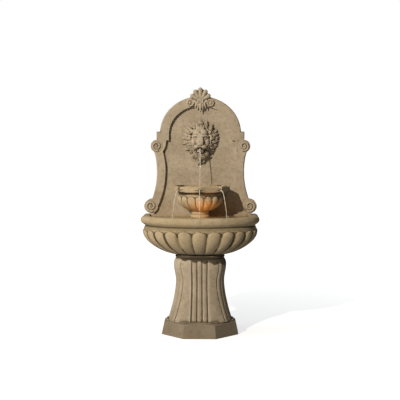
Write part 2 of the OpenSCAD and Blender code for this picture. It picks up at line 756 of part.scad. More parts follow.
function hose_rings(r) = concat(
    [hose_ring([pump_x, hose_start_y, pump_z], [1, 0, 0], [0, 0, -1], r)],
    [for (b = [0:15:90]) hose_ring([pump_x, hose_y - hose_bend_r * (1 - sin(b)),
        pump_z + hose_bend_r * (1 - cos(b))], [1, 0, 0], [0, sin(b), -cos(b)], r)],
    [for (p = behind_panel(chase_low_z - 20, elbow_low_z))
        hose_ring([p[0], hose_y, p[1]], [cos(p[2]), 0, -sin(p[2])], [0, 1, 0], r)]);

module supply_hose() {
    inner = hose_rings(hose_bore_r / cos(180 / hose_sides));
    last = len(inner) - 1;
    color(dark_plastic) looped_skin(concat(hose_rings(hose_r), [for (i = [last:-1:0]) inner[i]]));
}

module spout_elbow() {
    bore = hose_bore_r - 2;
    seat_y = field_y + 14;
    color(brass) difference() {
        union() {
            translate([0, hose_y, elbow_low_z]) cylinder(r = elbow_r, h = mouth_z + elbow_r - elbow_low_z);
            translate([0, hose_y, elbow_low_z - barb_l]) cylinder(r = hose_bore_r - cast_gap / 2, h = barb_l + 1);
            translate([0, seat_y, mouth_z]) rod(elbow_r, hose_y - seat_y, "y");
        }
        translate([0, hose_y, elbow_low_z - barb_l - 1]) cylinder(r = bore, h = mouth_z - elbow_low_z + barb_l + 1);
        translate([0, seat_y - 1, mouth_z]) rod(bore, hose_y - seat_y + 1, "y");
        translate([0, seat_y - 1, mouth_z]) rod(tube_r + run_gap, 13, "y");
    }
}

module spout_tube() {
    tip_y = field_y - 78;
    color(brass) translate([0, tip_y, mouth_z]) difference() {
        rod(tube_r, field_y + 25 - tip_y, "y");
        translate([0, -1, 0]) rod(tube_r - 2, field_y + 30 - tip_y, "y");
    }
}

module clamp() {
    difference() {
        union() {
            cylinder(r = hose_r + 1.6, h = 8);
            translate([hose_r, -4, 0]) cube([6, 8, 8]);
        }
        translate([0, 0, -1]) cylinder(r = hose_r + run_gap, h = 10);
    }
}

module hose_clamps() {
    color(steel) {
        translate([pump_x, hose_start_y + 3, pump_z]) rotate([-90, 0, 0]) clamp();
        translate([0, hose_y, elbow_low_z - 12]) clamp();
    }
}

module hose_clips() {
    clip_w = 22;
    clip_h = 12;
    for (p = [[pump_x, chase_low_z - 16], [0, chase_low_z + slant_h + 14]])
        color(dark_plastic) translate([p[0], 0, p[1]]) difference() {
            translate([-clip_w / 2, chase_y, 0]) cube([clip_w, hose_y + 3 - chase_y, clip_h]);
            translate([0, hose_y, -1]) cylinder(r = hose_r + cast_gap, h = clip_h + 2);
        }
}

// Spill bowl and its foot

function bowl_ring(z, r, depth = 0, head = 0) =
    [for (i = [0:bowl_lobes * columns_per_lobe - 1]) let (s = i / columns_per_lobe,
        a = 360 * s / bowl_lobes - 90, q = r - depth * (1 - fullness(s, head)))
        [q * cos(a), bowl_y + q * sin(a), z]];

function bowl_rim_ring(z, r) = [for (a = [-90:45:225]) [r * cos(a), bowl_y + r * sin(a), z]];

module spill_bowl() {
    lobe_h = bowl_body_h - 22;
    head_h = 24;
    wide_h = bowl_body_h - 36;
    neck_r = bowl_body_r - 12;
    bottom_r = foot_r + 7;
    rim_top = bowl_rim_z + bowl_rim_h;
    inner_r = bowl_r - bowl_wall / cos(22.5);
    back_wall = 14;
    color(stone) difference() {
        union() {
            skin(concat(
                [for (t = [0, 0.07, 0.18, 0.34, 0.52, 0.7]) let (h = t * lobe_h,
                    r = bottom_r + (bowl_body_r - bottom_r)
                        * pow(1 - pow(1 - min(1, h / wide_h), 2), 0.75))
                    bowl_ring(bowl_z + h, r, bowl_lobe_depth * min(1, 0.3 + 3 * t), 1)],
                [for (t = [0.75, 0.45, 0.2, 0.05])
                    bowl_ring(bowl_z + lobe_h - head_h * t, bowl_body_r - 4 * (1 - t) * (1 - t),
                        bowl_lobe_depth, t)],
                [bowl_ring(bowl_z + lobe_h, bowl_body_r - 10),
                    bowl_ring(bowl_z + lobe_h + 5, neck_r), bowl_ring(bowl_rim_z + 3, neck_r)]));
            skin([bowl_rim_ring(bowl_rim_z, bowl_r - 12), bowl_rim_ring(bowl_rim_z + 5, bowl_r - 2),
                bowl_rim_ring(rim_top - 5, bowl_r), bowl_rim_ring(rim_top, bowl_r - 5)]);
        }
        intersection() {
            union() {
                translate([0, bowl_y, bowl_rim_z + 12])
                    cylinder(r = inner_r, h = bowl_rim_h, $fn = 8);
                translate([0, bowl_y, 0]) rotate_extrude() polygon([[0, bowl_z + peg_h + 22],
                    [peg_r + 40, bowl_z + peg_h + 30], [bowl_body_r - 38, bowl_z + bowl_body_h - 40],
                    [bowl_body_r - 28, bowl_rim_z + 13], [0, bowl_rim_z + 13]]);
            }
            translate([-bowl_r, bowl_y - bowl_r, bowl_z])
                cube([2 * bowl_r, bowl_r + bowl_back_d - back_wall, bowl_body_h + bowl_rim_h + 1]);
        }
        for (a = [-45, 0, 45]) translate([0, bowl_y, rim_top]) rotate([90, 0, a])
            linear_extrude(bowl_r + 10) polygon([[-notch_w / 2, 1], [-notch_w / 5, -notch_h],
                [notch_w / 5, -notch_h], [notch_w / 2, 1]]);
        translate([-bowl_r - 1, bowl_y + bowl_back_d, bowl_z - 1])
            cube([2 * bowl_r + 2, bowl_r, bowl_body_h + bowl_rim_h + 2]);
        translate([0, bowl_y, bowl_z - 1]) cylinder(r = peg_r + slip_gap, h = peg_h + 2);
    }
}

// Half-round bead of a turned profile, from its lower edge to its upper one
function bead(r, z, h) = [for (a = [-90:15:90]) [r - h / 2 + h / 2 * cos(a), z + h / 2 + h / 2 * sin(a)]];

module bowl_foot() {
    upper_h = 22;
    lower_h = 24;
    plate_h = 16;
    column_r = foot_r - 10;
    color(stone) translate([0, bowl_y, 0]) rotate_extrude() polygon(concat(
        [[0, floor_z], [foot_ring_r, floor_z], [foot_ring_r, floor_z + plate_h],
            [column_r, floor_z + plate_h + 10], [column_r, bowl_z - upper_h - lower_h - 4]],
        bead(foot_ring_r, bowl_z - upper_h - lower_h, lower_h),
        [[foot_r - 4, bowl_z - upper_h], [foot_r, bowl_z - upper_h + 5], [foot_r, bowl_z - slip_gap],
            [peg_r, bowl_z - slip_gap], [peg_r, bowl_z + peg_h - 2], [peg_r - 2, bowl_z + peg_h],
            [0, bowl_z + peg_h]]));
}

// Pump

chamber_x = pump_x + chamber_l / 2;
chamber_out = chamber_r + chamber_wall;
face_x = chamber_x - chamber_l;
shaft_end_x = chamber_x + motor_l - 12;

module pump_housing() {
    base_z = floor_z + cup_h;
    color(dark_plastic) difference() {
        union() {
            translate([face_x, pump_y, pump_z]) rod(chamber_out, chamber_l, "x");
            translate([chamber_x - 1, pump_y, pump_z]) rod(motor_r, motor_l + 1, "x");
            translate([chamber_x + 4, pump_y - 22, base_z]) cube([motor_l - 10, 44, pump_axis_h - cup_h]);
            translate([pump_x, pump_y, pump_z]) rod(elbow_r, pump_nozzle_y - pump_y, "y");
            translate([pump_x, pump_y, pump_z])
                rod(hose_bore_r - cast_gap / 2, hose_start_y + barb_l - pump_y, "y");
            translate([pump_x, pump_y, pump_z]) cylinder(r = 8, h = chamber_out + 4);
            for (i = [1:4]) translate([chamber_x + i * motor_l / 5 - 2, pump_y, pump_z])
                rod(motor_r + 1.5, 3, "x");
        }
        translate([face_x - 1, pump_y, pump_z]) rod(chamber_r, chamber_l - 2, "x");
        translate([face_x, pump_y, pump_z]) rod(rotor_r + 0.6, chamber_l + motor_l - 14, "x");
        translate([face_x, pump_y, pump_z]) rod(pump_shaft_r + run_gap, shaft_end_x + 6 - face_x, "x");
        translate([pump_x, pump_y, pump_z]) rod(hose_bore_r - 2, hose_start_y + barb_l, "y");
        translate([pump_x, pump_y, pump_z + chamber_r]) cylinder(r = 4 + run_gap, h = 30);
        translate([chamber_x + motor_l - 6, pump_y, pump_z + 14]) rod(4 + run_gap, 10, "x");
    }
}

module pump_cover() {
    spigot_l = 5;
    hub_r = 5;
    slot_w = 3.4;
    color("#1d1f21") difference() {
        union() {
            translate([face_x - slip_gap - cover_l, pump_y, pump_z]) rod(chamber_out - 1, cover_l, "x");
            translate([face_x - slip_gap - 1, pump_y, pump_z]) rod(chamber_r - 0.1, spigot_l + 1, "x");
        }
        translate([face_x - cover_l + 2, pump_y, pump_z]) difference() {
            rod(chamber_r - 3, cover_l + spigot_l, "x");
            translate([-1, 0, 0]) rod(hub_r, cover_l + 4, "x");
            for (a = [0, 60, 120]) rotate([a, 0, 0]) translate([cover_l - 3, -1.2, -chamber_r])
                cube([3, 2.4, 2 * chamber_r]);
        }
        for (i = [-2:2]) translate([face_x - cover_l - 2, pump_y + i * 7 - slot_w / 2, pump_z - 12])
            cube([5, slot_w, 24]);
        translate([face_x - 8, pump_y, pump_z]) rod(pump_shaft_r + 0.1, 20, "x");
    }
}

module impeller_shaft() {
    color("#e8e6e0") translate([face_x - 5, pump_y, pump_z]) rod(pump_shaft_r, shaft_end_x + 5 - face_x, "x");
}

module pump_impeller() {
    vanes = 6;
    disc_x = chamber_x - 5;
    color("#4a6f96") translate([0, pump_y, pump_z]) difference() {
        union() {
            translate([disc_x - 2, 0, 0]) rod(chamber_r - 3, 2, "x");
            for (i = [0:vanes - 1]) rotate([i * 360 / vanes, 0, 0])
                translate([disc_x - 9, 5, -1]) cube([7.5, chamber_r - 9, 2]);
            translate([disc_x - 9, 0, 0]) rod(6, 9, "x");
            translate([disc_x - 1, 0, 0]) rod(rotor_r, motor_l - 14, "x");
        }
        translate([disc_x - 10, 0, 0]) rod(pump_shaft_r + run_gap, motor_l + 5, "x");
    }
}

module flow_dial() {
    boss_z = pump_z + chamber_out + 4;
    color("#3a6ea8") translate([pump_x, pump_y, 0]) {
        translate([0, 0, pump_z + chamber_r + 3]) cylinder(r = 4, h = chamber_wall + 5);
        translate([0, 0, boss_z + slip_gap]) difference() {
            cylinder(r = 9, h = 7);
            for (i = [0:11]) rotate([0, 0, i * 30]) translate([9.4, 0, -1]) cylinder(r = 1, h = 9);
        }
        translate([-1, 0, boss_z + slip_gap + 6]) cube([2, 8, 2]);
    }
}

module pump_feet() {
    color("#1b1b1b") for (x = [chamber_x + 13, chamber_x + motor_l - 16]) for (side = [-1, 1])
        translate([x, pump_y + side * 13, floor_z]) rotate_extrude() polygon([[0, 2], [cup_r - 2, 0],
            [cup_r, 0], [cup_r * 0.5, 5], [cup_r * 0.4, cup_h - 3], [cup_r * 0.7, cup_h], [0, cup_h]]);
}

// Tapered gland that a lead would come out of
module gland(l) {
    difference() {
        rotate_extrude() polygon([[0, 0], [4, 0], [4, 4], [6, 4], [6, 7], [4.2, l], [0, l]]);
        translate([0, 0, 5]) cylinder(r = 2.6, h = l);
    }
}

module pump_cord_gland() {
    color("#1b1b1b") translate([chamber_x + motor_l - 4, pump_y, pump_z + 14]) rotate([0, 90, 0]) gland(15);
}

// Drain

module drain_fitting() {
    color(brass) translate([drain_x, drain_y, 0]) difference() {
        union() {
            translate([0, 0, floor_z]) cylinder(r = drain_flange_r, h = 3);
            translate([0, 0, seat_z - drain_nut_h]) cylinder(r = drain_r, h = floor_t + drain_nut_h + 1);
            translate([0, 0, seat_z - drain_tail]) cylinder(r = drain_r - 1, h = drain_tail);
        }
        translate([0, 0, seat_z - drain_tail - 1]) cylinder(r = drain_bore_r, h = floor_t + drain_tail + 6);
    }
}

module drain_nut() {
    color(brass) translate([drain_x, drain_y, seat_z - drain_nut_h]) difference() {
        cylinder(r = drain_r + 4.5, h = drain_nut_h, $fn = 6);
        translate([0, 0, -1]) cylinder(r = drain_r + run_gap, h = drain_nut_h + 2);
    }
}

module drain_plug() {
    head_z = floor_z + 3 + slip_gap;
    color("#2b2b2b") translate([drain_x, drain_y, 0]) {
        translate([0, 0, head_z - 20]) cylinder(r = drain_bore_r - run_gap, h = 21);
        translate([0, 0, head_z]) cylinder(r = drain_bore_r + 3, h = 5);
        translate([0, 0, head_z + 4]) cylinder(r = 3, h = 6);
        translate([0, 0, head_z + 15]) rotate([90, 0, 0]) rotate_extrude()
            translate([7, 0]) circle(r = 1.6);
    }
}

// Submerged light

light_x = 60;
light_y = -78;
light_z = floor_z + light_pivot_h;
ear_t = 3;
ear_x = light_r + 3;
pivot_r = 3;
light_back = 20;
lens_t = 4;

module at_light() {
    translate([light_x, light_y, light_z]) rotate([-light_lean, 0, 0]) children();
}

module light_bracket() {
    plate_t = 3;
    color(steel) translate([light_x, light_y, 0]) difference() {
        union() {
            translate([-ear_x - ear_t, -18, floor_z]) cube([2 * (ear_x + ear_t), 36, plate_t]);
            for (side = [-1, 1]) translate([side < 0 ? -ear_x - ear_t : ear_x, 0, 0]) {
                translate([0, -9, floor_z]) cube([ear_t, 18, light_pivot_h]);
                translate([0, 0, light_z]) rod(9, ear_t, "x");
            }
        }
        translate([-ear_x - ear_t - 1, 0, light_z]) rod(pivot_r + run_gap, 2 * (ear_x + ear_t) + 2, "x");
    }
}

module light_pivots() {
    color("#8f9296") for (side = [-1, 1]) translate([light_x, light_y, light_z])
        rotate([0, 0, side < 0 ? 180 : 0]) {
            translate([light_r - 6, 0, 0]) rod(pivot_r, 9 + ear_t + 1, "x");
            translate([ear_x + ear_t, 0, 0]) rod(6, 3, "x");
        }
}

module light_housing() {
    color("#2d2f31") at_light() difference() {
        union() {
            translate([0, 0, -light_back]) cylinder(r = light_r, h = light_l);
            translate([0, 0, light_l - light_back - 5]) cylinder(r = light_r + 1.5, h = 5);
            for (i = [0:3]) translate([0, 0, -light_back + 2 + i * 5]) cylinder(r = light_r + 1, h = 2);
        }
        translate([0, 0, light_l - light_back - 14]) cylinder(r = light_r - 3, h = 15);
        translate([-light_r - 3, 0, 0]) rod(pivot_r + run_gap, 9 + 3, "x");
        translate([light_r - 9, 0, 0]) rod(pivot_r + run_gap, 9 + 3, "x");
        translate([0, 0, -light_back - 1]) cylinder(r = 4 + run_gap, h = 6);
    }
}

module light_lens() {
    color("#ffd27a") at_light() translate([0, 0, light_l - light_back - lens_t - 1])
        cylinder(r = light_r - 3 - run_gap, h = lens_t);
}

module light_led_plate() {
    color("#f0e6c8") at_light() translate([0, 0, light_l - light_back - 14]) {
        cylinder(r = light_r - 5, h = 2);
        for (i = [0:5]) rotate([0, 0, i * 60]) translate([11, 0, 2]) cylinder(r = 2.5, h = 2, $fn = 24);
    }
}

module light_cord_gland() {
    color("#1b1b1b") at_light() translate([0, 0, -light_back + 4]) rotate([180, 0, 0]) gland(15);
}

pedestal();
basin();
back_panel();
crest_shell();
lion_mask();
spill_bowl();
bowl_foot();
basin_pads();
panel_dowels();
crest_dowels();
mask_studs();
mask_nuts();
spout_tube();
spout_elbow();
supply_hose();
hose_clamps();
hose_clips();
pump_housing();
pump_cover();
pump_impeller();
impeller_shaft();
flow_dial();
pump_feet();
pump_cord_gland();
drain_fitting();
drain_nut();
drain_plug();
light_bracket();
light_housing();
light_lens();
light_led_plate();
light_pivots();
light_cord_gland();
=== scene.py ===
import json
import math

import bpy
import numpy as np
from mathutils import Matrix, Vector


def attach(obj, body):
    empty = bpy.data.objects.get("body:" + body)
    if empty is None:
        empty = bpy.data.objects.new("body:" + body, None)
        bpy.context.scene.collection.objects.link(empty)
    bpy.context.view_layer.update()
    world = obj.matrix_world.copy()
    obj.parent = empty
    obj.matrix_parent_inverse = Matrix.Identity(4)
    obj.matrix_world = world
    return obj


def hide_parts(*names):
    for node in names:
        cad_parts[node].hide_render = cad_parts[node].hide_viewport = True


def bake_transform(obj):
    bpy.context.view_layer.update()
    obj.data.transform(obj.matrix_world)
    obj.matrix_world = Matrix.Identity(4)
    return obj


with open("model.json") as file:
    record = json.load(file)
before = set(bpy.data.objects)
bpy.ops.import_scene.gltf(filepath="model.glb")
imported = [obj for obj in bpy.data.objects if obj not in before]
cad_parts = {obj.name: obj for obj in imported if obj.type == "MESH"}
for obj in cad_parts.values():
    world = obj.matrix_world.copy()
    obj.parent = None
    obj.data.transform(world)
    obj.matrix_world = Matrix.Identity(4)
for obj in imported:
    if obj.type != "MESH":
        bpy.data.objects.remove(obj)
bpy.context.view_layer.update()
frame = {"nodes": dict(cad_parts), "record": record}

nodes = frame["nodes"]

# Planes and heights of the fountain, in metres, as the solids have them
FIELD_Y = 0.1502
BORDER_Y = 0.1282
LEDGE_Y = 0.1222
MOUTH_Z = 1.103
MANE_Z = 1.150
HUB_Z = 1.392

# The panel's scrolls: distance from the middle, height and radius
UPPER_SCROLL = 0.265, 1.120, 0.038
LOWER_SCROLL = 0.301, 0.754, 0.043

# The shaft: its middle and foot, its half width at the waist, the share of its depth to its width,
# the roundness of its section's corners and the width of a reed
SHAFT_Y = 0.0192
SHAFT_Z = 0.090
WAIST_R = 0.145
SHAFT_OVAL = 0.77
SHAFT_POWER = 2.6
REED = 0.029

# The basin's belly: where its round front ends, its foot, its size and the heads of its lobes
SIDE_Y = 0.0202
SEAT_Z = 0.478
BELLY_FOOT_R = 0.160
BELLY_R = 0.343
BELLY_H = 0.139
BELLY_OVAL = 0.2234 / 0.3556
LOBE_TOP_H = 0.147

# The spill bowl: its middle and back, the top of its foot, its rim and the notches in it
BOWL_Y = 0.0502
BOWL_BACK_Y = 0.1352
BOWL_FOOT_Z = 0.7350
BOWL_R = 0.178
NOTCH_Z = 0.861
NOTCH_TURN = 45

# The water in the basin and in the bowl
POOL_R = 0.303
POOL_OVAL = 0.628
POOL_WATER_Z = 0.697
BOWL_WATER_R = 0.152
BOWL_WATER_Z = 0.8625
GRAVITY = 9.81

# Darkening, as pairs of a height and a strength: from the ground up, and the painted shadow in the band
# under the basin's rim
DARKER_LOW = (0.085, 0.32), (0.100, 0.24), (0.200, 0.19), (0.330, 0.12), (0.440, 0.02), (0.484, 0.07)
UNDER_RIM_SHADOW = (0.6255, 0), (0.6300, 0.22), (0.6500, 0.40), (0.6560, 0)

# Rows of the mane from the outside in. Each has its number of locks, where they start and end as shares
# of the mane's reach, how far root, middle and tip stand out, the strands' thickness and distance,
# and a number that varies them
MANE_ROWS = (
    (30, 0.60, 1.02, (0.016, 0.021, 0.004), 0.0042, 0.0074, 0.3),
    (27, 0.53, 0.87, (0.027, 0.034, 0.016), 0.0042, 0.0070, 1.1),
    (23, 0.47, 0.72, (0.036, 0.047, 0.028), 0.0039, 0.0064, 2.2),
)

# Tips of the locks of the tuft over the brow and of the beard, across and up from the mane's middle
TUFT = (-0.030, 0.092), (-0.012, 0.101), (0.008, 0.103), (0.027, 0.094)
BEARD = ((-0.046, -0.104), (0.048, -0.102), (-0.030, -0.120), (0.032, -0.116), (-0.013, -0.130),
    (0.015, -0.127), (0, -0.144))

# Leaves under the crest's hub: where the root and the tip are, how far they hang and how thick they are
LEAVES = (0, 0, 0.070, 0.0098), (0.012, 0.016, 0.055, 0.0066), (0.023, 0.033, 0.048, 0.0078)


# Camera, at the photograph's viewing angle

def place_camera():
    distance = 5.0
    height = 1.127
    turned = math.radians(1.2)
    down = math.radians(3.74)
    sensor = 36
    # Focal length as a share of the picture's width
    focal = 843 / 400
    camera = bpy.data.objects.new("camera", bpy.data.cameras.new("camera"))
    camera.data.sensor_width = sensor
    camera.data.lens = focal * sensor
    camera.location = (distance * math.sin(turned), -distance * math.cos(turned), height)
    camera.rotation_euler = (math.radians(90) - down, 0, turned)
    bpy.context.scene.collection.objects.link(camera)
    bpy.context.scene.camera = camera


place_camera()


# Helpers for the pieces

def take(*pieces):
    """Selects these pieces alone, the first of them active."""
    if bpy.context.object and bpy.context.object.mode != "OBJECT":
        bpy.ops.object.mode_set(mode="OBJECT")
    bpy.ops.object.select_all(action="DESELECT")
    for piece in pieces:
        piece.select_set(True)
    bpy.context.view_layer.objects.active = pieces[0]


def apply_modifier(piece, kind, **settings):
    take(piece)
    modifier = piece.modifiers.new(kind.lower(), kind)
    for name, value in settings.items():
        setattr(modifier, name, value)
    bpy.ops.object.modifier_apply(modifier=modifier.name)


def settle(piece, name):
    """Puts the piece's place into its mesh and names it."""
    take(piece)
    bpy.ops.object.transform_apply(location=True, rotation=True, scale=True)
    piece.name = name
    piece.data.name = name
    return piece


def join(pieces, name):
    take(*pieces)
    if len(pieces) > 1:
        bpy.ops.object.join()
    return settle(bpy.context.view_layer.objects.active, name)


def bare_copy(node):
    """Copy of a solid's mesh with its loose triangles merged."""
    piece = nodes[node].copy()
    piece.data = nodes[node].data.copy()
    for key in list(piece.keys()):
        del piece[key]
    piece.parent = None
    bpy.context.scene.collection.objects.link(piece)
    piece.data.materials.clear()
    take(piece)
    if piece.data.has_custom_normals:
        bpy.ops.mesh.customdata_custom_splitnormals_clear()
    bpy.ops.object.mode_set(mode="EDIT")
    bpy.ops.mesh.select_all(action="SELECT")
    bpy.ops.mesh.remove_doubles(threshold=0.00002)
    bpy.ops.object.mode_set(mode="OBJECT")
    piece.name = node + "_cast"
    piece.data.name = node + "_cast"
    return piece


def soften(piece, sharp, levels):
    """Rounds the facets between sharp edges, as a rubber mould leaves them."""
    take(piece)
    bpy.ops.object.mode_set(mode="EDIT")
    bpy.ops.mesh.select_mode(type="EDGE")
    bpy.ops.mesh.select_all(action="SELECT")
    bpy.ops.mesh.tris_convert_to_quads(face_threshold=math.radians(25), shape_threshold=math.radians(60))
    bpy.ops.mesh.select_all(action="DESELECT")
    bpy.ops.mesh.edges_select_sharp(sharpness=math.radians(sharp))
    bpy.ops.transform.edge_crease(value=1.0)
    bpy.ops.object.mode_set(mode="OBJECT")
    apply_modifier(piece, "SUBSURF", levels=levels, render_levels=levels)


def smooth_shading(piece, angle=40):
    take(piece)
    bpy.ops.object.shade_smooth_by_angle(angle=math.radians(angle))


def read_points(mesh, kind="co"):
    values = np.zeros(len(mesh.vertices) * 3)
    mesh.vertices.foreach_get(kind, values)
    return values.reshape(-1, 3)


def move_points(piece, place):
    piece.data.vertices.foreach_set("co", place.ravel())
    piece.data.update()


def stains_and_painted_shadows(place):
    """Painted shadow under the basin and under its rim, darkening towards the ground, and wet stain with
    painted shade where water runs through the bowl's notches.
    """
    x, y, z = place[:, 0], place[:, 1] - BOWL_Y, place[:, 2]
    # Darker by height, most towards the ground
    darker_low = np.interp(z, *zip(*DARKER_LOW))
    # Painted shadow of the basin on the shaft's top, down to a slanting, wavy edge, but for the groove of
    # the neck
    edge = 0.436 - 0.12 * x + 0.006 * np.cos(x * 105)
    round_groove = (z < 0.4765) | ((z > 0.4815) & (z < 0.4875))
    neck = np.clip((z - edge) / 0.008, 0, 1) * round_groove
    # Painted shadow of the rim on the band under it
    band = np.interp(z, *zip(*UNDER_RIM_SHADOW))
    # Wet stain and painted shade, a few degrees wide, on the rim's front at each notch
    turn = np.degrees(np.arctan2(x, -y))
    aside = np.abs(np.mod(turn + NOTCH_TURN / 2, NOTCH_TURN) - NOTCH_TURN / 2)
    rim = (y < -0.06) & (np.hypot(x, y) > 0.150) & (z > 0.815) & (z < 0.868)
    notch_wet_and_shade = np.clip(1.6 - aside / 2.2, 0, 1) * rim
    return darker_low + neck + band + 0.9 * notch_wet_and_shade


def mark_dirt_and_shade(piece, rounds, depth):
    """Stores how far each point lies under its smoothed surroundings, for dirt and painted shade in the
    hollows, and adds the painted shadows and stains laid on by place.
    """
    mesh = piece.data
    count = len(mesh.vertices)
    place = read_points(mesh)
    normal = read_points(mesh, "normal")
    ends = np.zeros(len(mesh.edges) * 2, dtype=np.int64)
    mesh.edges.foreach_get("vertices", ends)
    ends = ends.reshape(-1, 2)
    # The long edges across flat faces say nothing of what is near
    longest = 0.012
    short = np.linalg.norm(place[ends[:, 1]] - place[ends[:, 0]], axis=1) < longest
    flat = np.bincount(ends[~short].ravel(), minlength=count) > 0
    a, b = ends[short, 0], ends[short, 1]
    near = np.maximum(np.bincount(a, minlength=count) + np.bincount(b, minlength=count), 1)
    smooth = place.copy()
    for _ in range(rounds):
        for axis in range(3):
            line = smooth[:, axis]
            spread = np.bincount(a, line[b], count) + np.bincount(b, line[a], count)
            smooth[:, axis] = 0.5 * line + 0.5 * spread / near
    deep = ((smooth - place) * normal).sum(1) / depth
    deep[flat] = 0
    shade = np.clip(deep + stains_and_painted_shadows(place), -1, 1).astype(np.float32)
    mesh.attributes.new("dirt_and_painted_shade", "FLOAT", "POINT").data.foreach_set("value", shade)


# Materials

def hex_linear(code):
    """sRGB hex value as the linear colour that a shader takes."""
    parts = [int(code[i:i + 2], 16) / 255 for i in (1, 3, 5)]
    return [c / 12.92 if c <= 0.04045 else ((c + 0.055) / 1.055) ** 2.4 for c in parts] + [1.0]


def add_node(tree, kind, inputs, **settings):
    """Adds a node with its settings; an input takes a number, colour, output or a node's first output."""
    node = tree.nodes.new(kind)
    for name, value in settings.items():
        setattr(node, name, value)
    for name, value in inputs.items():
        socket = next(s for s in node.inputs if s.enabled and s.name == name)
        if isinstance(value, bpy.types.Node):
            value = next(s for s in value.outputs if s.enabled)
        if isinstance(value, bpy.types.NodeSocket):
            tree.links.new(value, socket)
        else:
            socket.default_value = value
    return node


def new_material(name):
    material = bpy.data.materials.new(name)
    material.use_nodes = True
    tree = material.node_tree
    tree.nodes.clear()
    return material, tree


def cast_stone(name, base, pale, brown, dirt_and_shade_colour):
    """Cast stone: cement and sand from a rubber mould, rubbed with a thin brown stain.
    It gives a matt grainy face, uneven in tone, darker in the creases with dirt and painted shade, darkest
    in painted shadows, and paler on worn edges."""
    material, tree = new_material(name)
    where = add_node(tree, "ShaderNodeTexCoord", {}).outputs["Object"]
    # Clouds of the stain, about 150 mm across
    clouds = add_node(tree, "ShaderNodeTexNoise", {"Vector": where, "Scale": 1000 / 150, "Detail": 2})
    clouds = add_node(tree, "ShaderNodeMapRange", {"Value": clouds, "From Min": 0.35, "From Max": 0.65})
    # Mottling, about 24 mm across
    mottle = add_node(tree, "ShaderNodeTexNoise",
        {"Vector": where, "Scale": 1000 / 24, "Detail": 4, "Roughness": 0.6})
    # Sand grit of 0.5 mm, drawn as 4 mm because the real grain is too fine to show
    grit = add_node(tree, "ShaderNodeTexNoise",
        {"Vector": where, "Scale": 1000 / 4, "Detail": 2, "Roughness": 0.7})
    dirt_and_painted_shade = add_node(tree, "ShaderNodeAttribute", {}, attribute_name="dirt_and_painted_shade").outputs["Fac"]
    tone = add_node(tree, "ShaderNodeMix",
        {"Factor": clouds, "A": hex_linear(base), "B": hex_linear(pale)}, data_type="RGBA")
    # Over the clouds: mottling, dark and pale grains, dirt and painted shade in the hollows, the darkest
    # painted shade and shadow, worn edges.
    # Each follows a pattern from where it starts to where it is full, and has a share and a colour
    for pattern, start, full, most, colour in (
            (mottle, 0.48, 0.75, 0.7, brown),
            (grit, 0.48, 0.75, 0.42, dirt_and_shade_colour),
            (grit, 0.46, 0.28, 0.3, "#cdc3b0"),
            (dirt_and_painted_shade, 0.04, 0.45, 0.85, dirt_and_shade_colour),
            (dirt_and_painted_shade, 0.60, 1.0, 0.8, "#2e281c"),
            (dirt_and_painted_shade, -0.05, -0.5, 0.45, pale)):
        share = add_node(tree, "ShaderNodeMapRange",
            {"Value": pattern, "From Min": start, "From Max": full, "To Max": most})
        tone = add_node(tree, "ShaderNodeMix",
            {"Factor": share, "A": tone, "B": hex_linear(colour)}, data_type="RGBA")
    rough = add_node(tree, "ShaderNodeMapRange",
        {"Value": mottle, "From Min": 0.3, "From Max": 0.7, "To Min": 0.82, "To Max": 0.95})
    fine = add_node(tree, "ShaderNodeBump", {"Height": grit, "Strength": 0.6, "Distance": 0.001})
    lumps = add_node(tree, "ShaderNodeBump",
        {"Height": mottle, "Strength": 0.5, "Distance": 0.002, "Normal": fine})
    stone = add_node(tree, "ShaderNodeBsdfPrincipled",
        {"Base Color": tone, "Roughness": rough, "Specular IOR Level": 0.3, "Normal": lumps})
    add_node(tree, "ShaderNodeOutputMaterial", {"Surface": stone})
    return material


def plain_finish(name, colour, second, size_mm, roughness, bump_mm, **shader):
    """Moulded or machined material: a slight change of tone and a faint texture of the given size."""
    material, tree = new_material(name)
    where = add_node(tree, "ShaderNodeTexCoord", {}).outputs["Object"]
    grain = add_node(tree, "ShaderNodeTexNoise", {"Vector": where, "Scale": 1000 / size_mm, "Detail": 3})
    share = add_node(tree, "ShaderNodeMapRange", {"Value": grain, "From Min": 0.35, "From Max": 0.65})
    tone = add_node(tree, "ShaderNodeMix",
        {"Factor": share, "A": hex_linear(colour), "B": hex_linear(second)}, data_type="RGBA")
    rough = add_node(tree, "ShaderNodeMapRange",
        {"Value": grain, "From Min": 0.3, "From Max": 0.7,
            "To Min": roughness - 0.06, "To Max": roughness + 0.08})
    bump = add_node(tree, "ShaderNodeBump",
        {"Height": grain, "Strength": 0.4, "Distance": bump_mm / 1000})
    finish = add_node(tree, "ShaderNodeBsdfPrincipled",
        {"Base Color": tone, "Roughness": rough, "Normal": bump, **shader})
    add_node(tree, "ShaderNodeOutputMaterial", {"Surface": finish})
    return material


def still_water(name):
    """Water at rest under falling drops: clear, faintly brown, with small ripples that catch the light."""
    material, tree = new_material(name)
    where = add_node(tree, "ShaderNodeTexCoord", {}).outputs["Object"]
    # Ripples, about 26 mm from crest to crest
    ripple = add_node(tree, "ShaderNodeTexNoise", {"Vector": where, "Scale": 1000 / 26, "Detail": 2})
    bump = add_node(tree, "ShaderNodeBump", {"Height": ripple, "Strength": 0.6, "Distance": 0.004})
    share = add_node(tree, "ShaderNodeMapRange", {"Value": ripple, "From Min": 0.35, "From Max": 0.65})
    tone = add_node(tree, "ShaderNodeMix",
        {"Factor": share, "A": hex_linear("#b39d72"), "B": hex_linear("#ccb88c")}, data_type="RGBA")
    surface = add_node(tree, "ShaderNodeBsdfPrincipled",
        {"Base Color": tone, "Roughness": 0.05, "IOR": 1.33, "Alpha": 0.6, "Normal": bump})
    add_node(tree, "ShaderNodeOutputMaterial", {"Surface": surface})
    return material


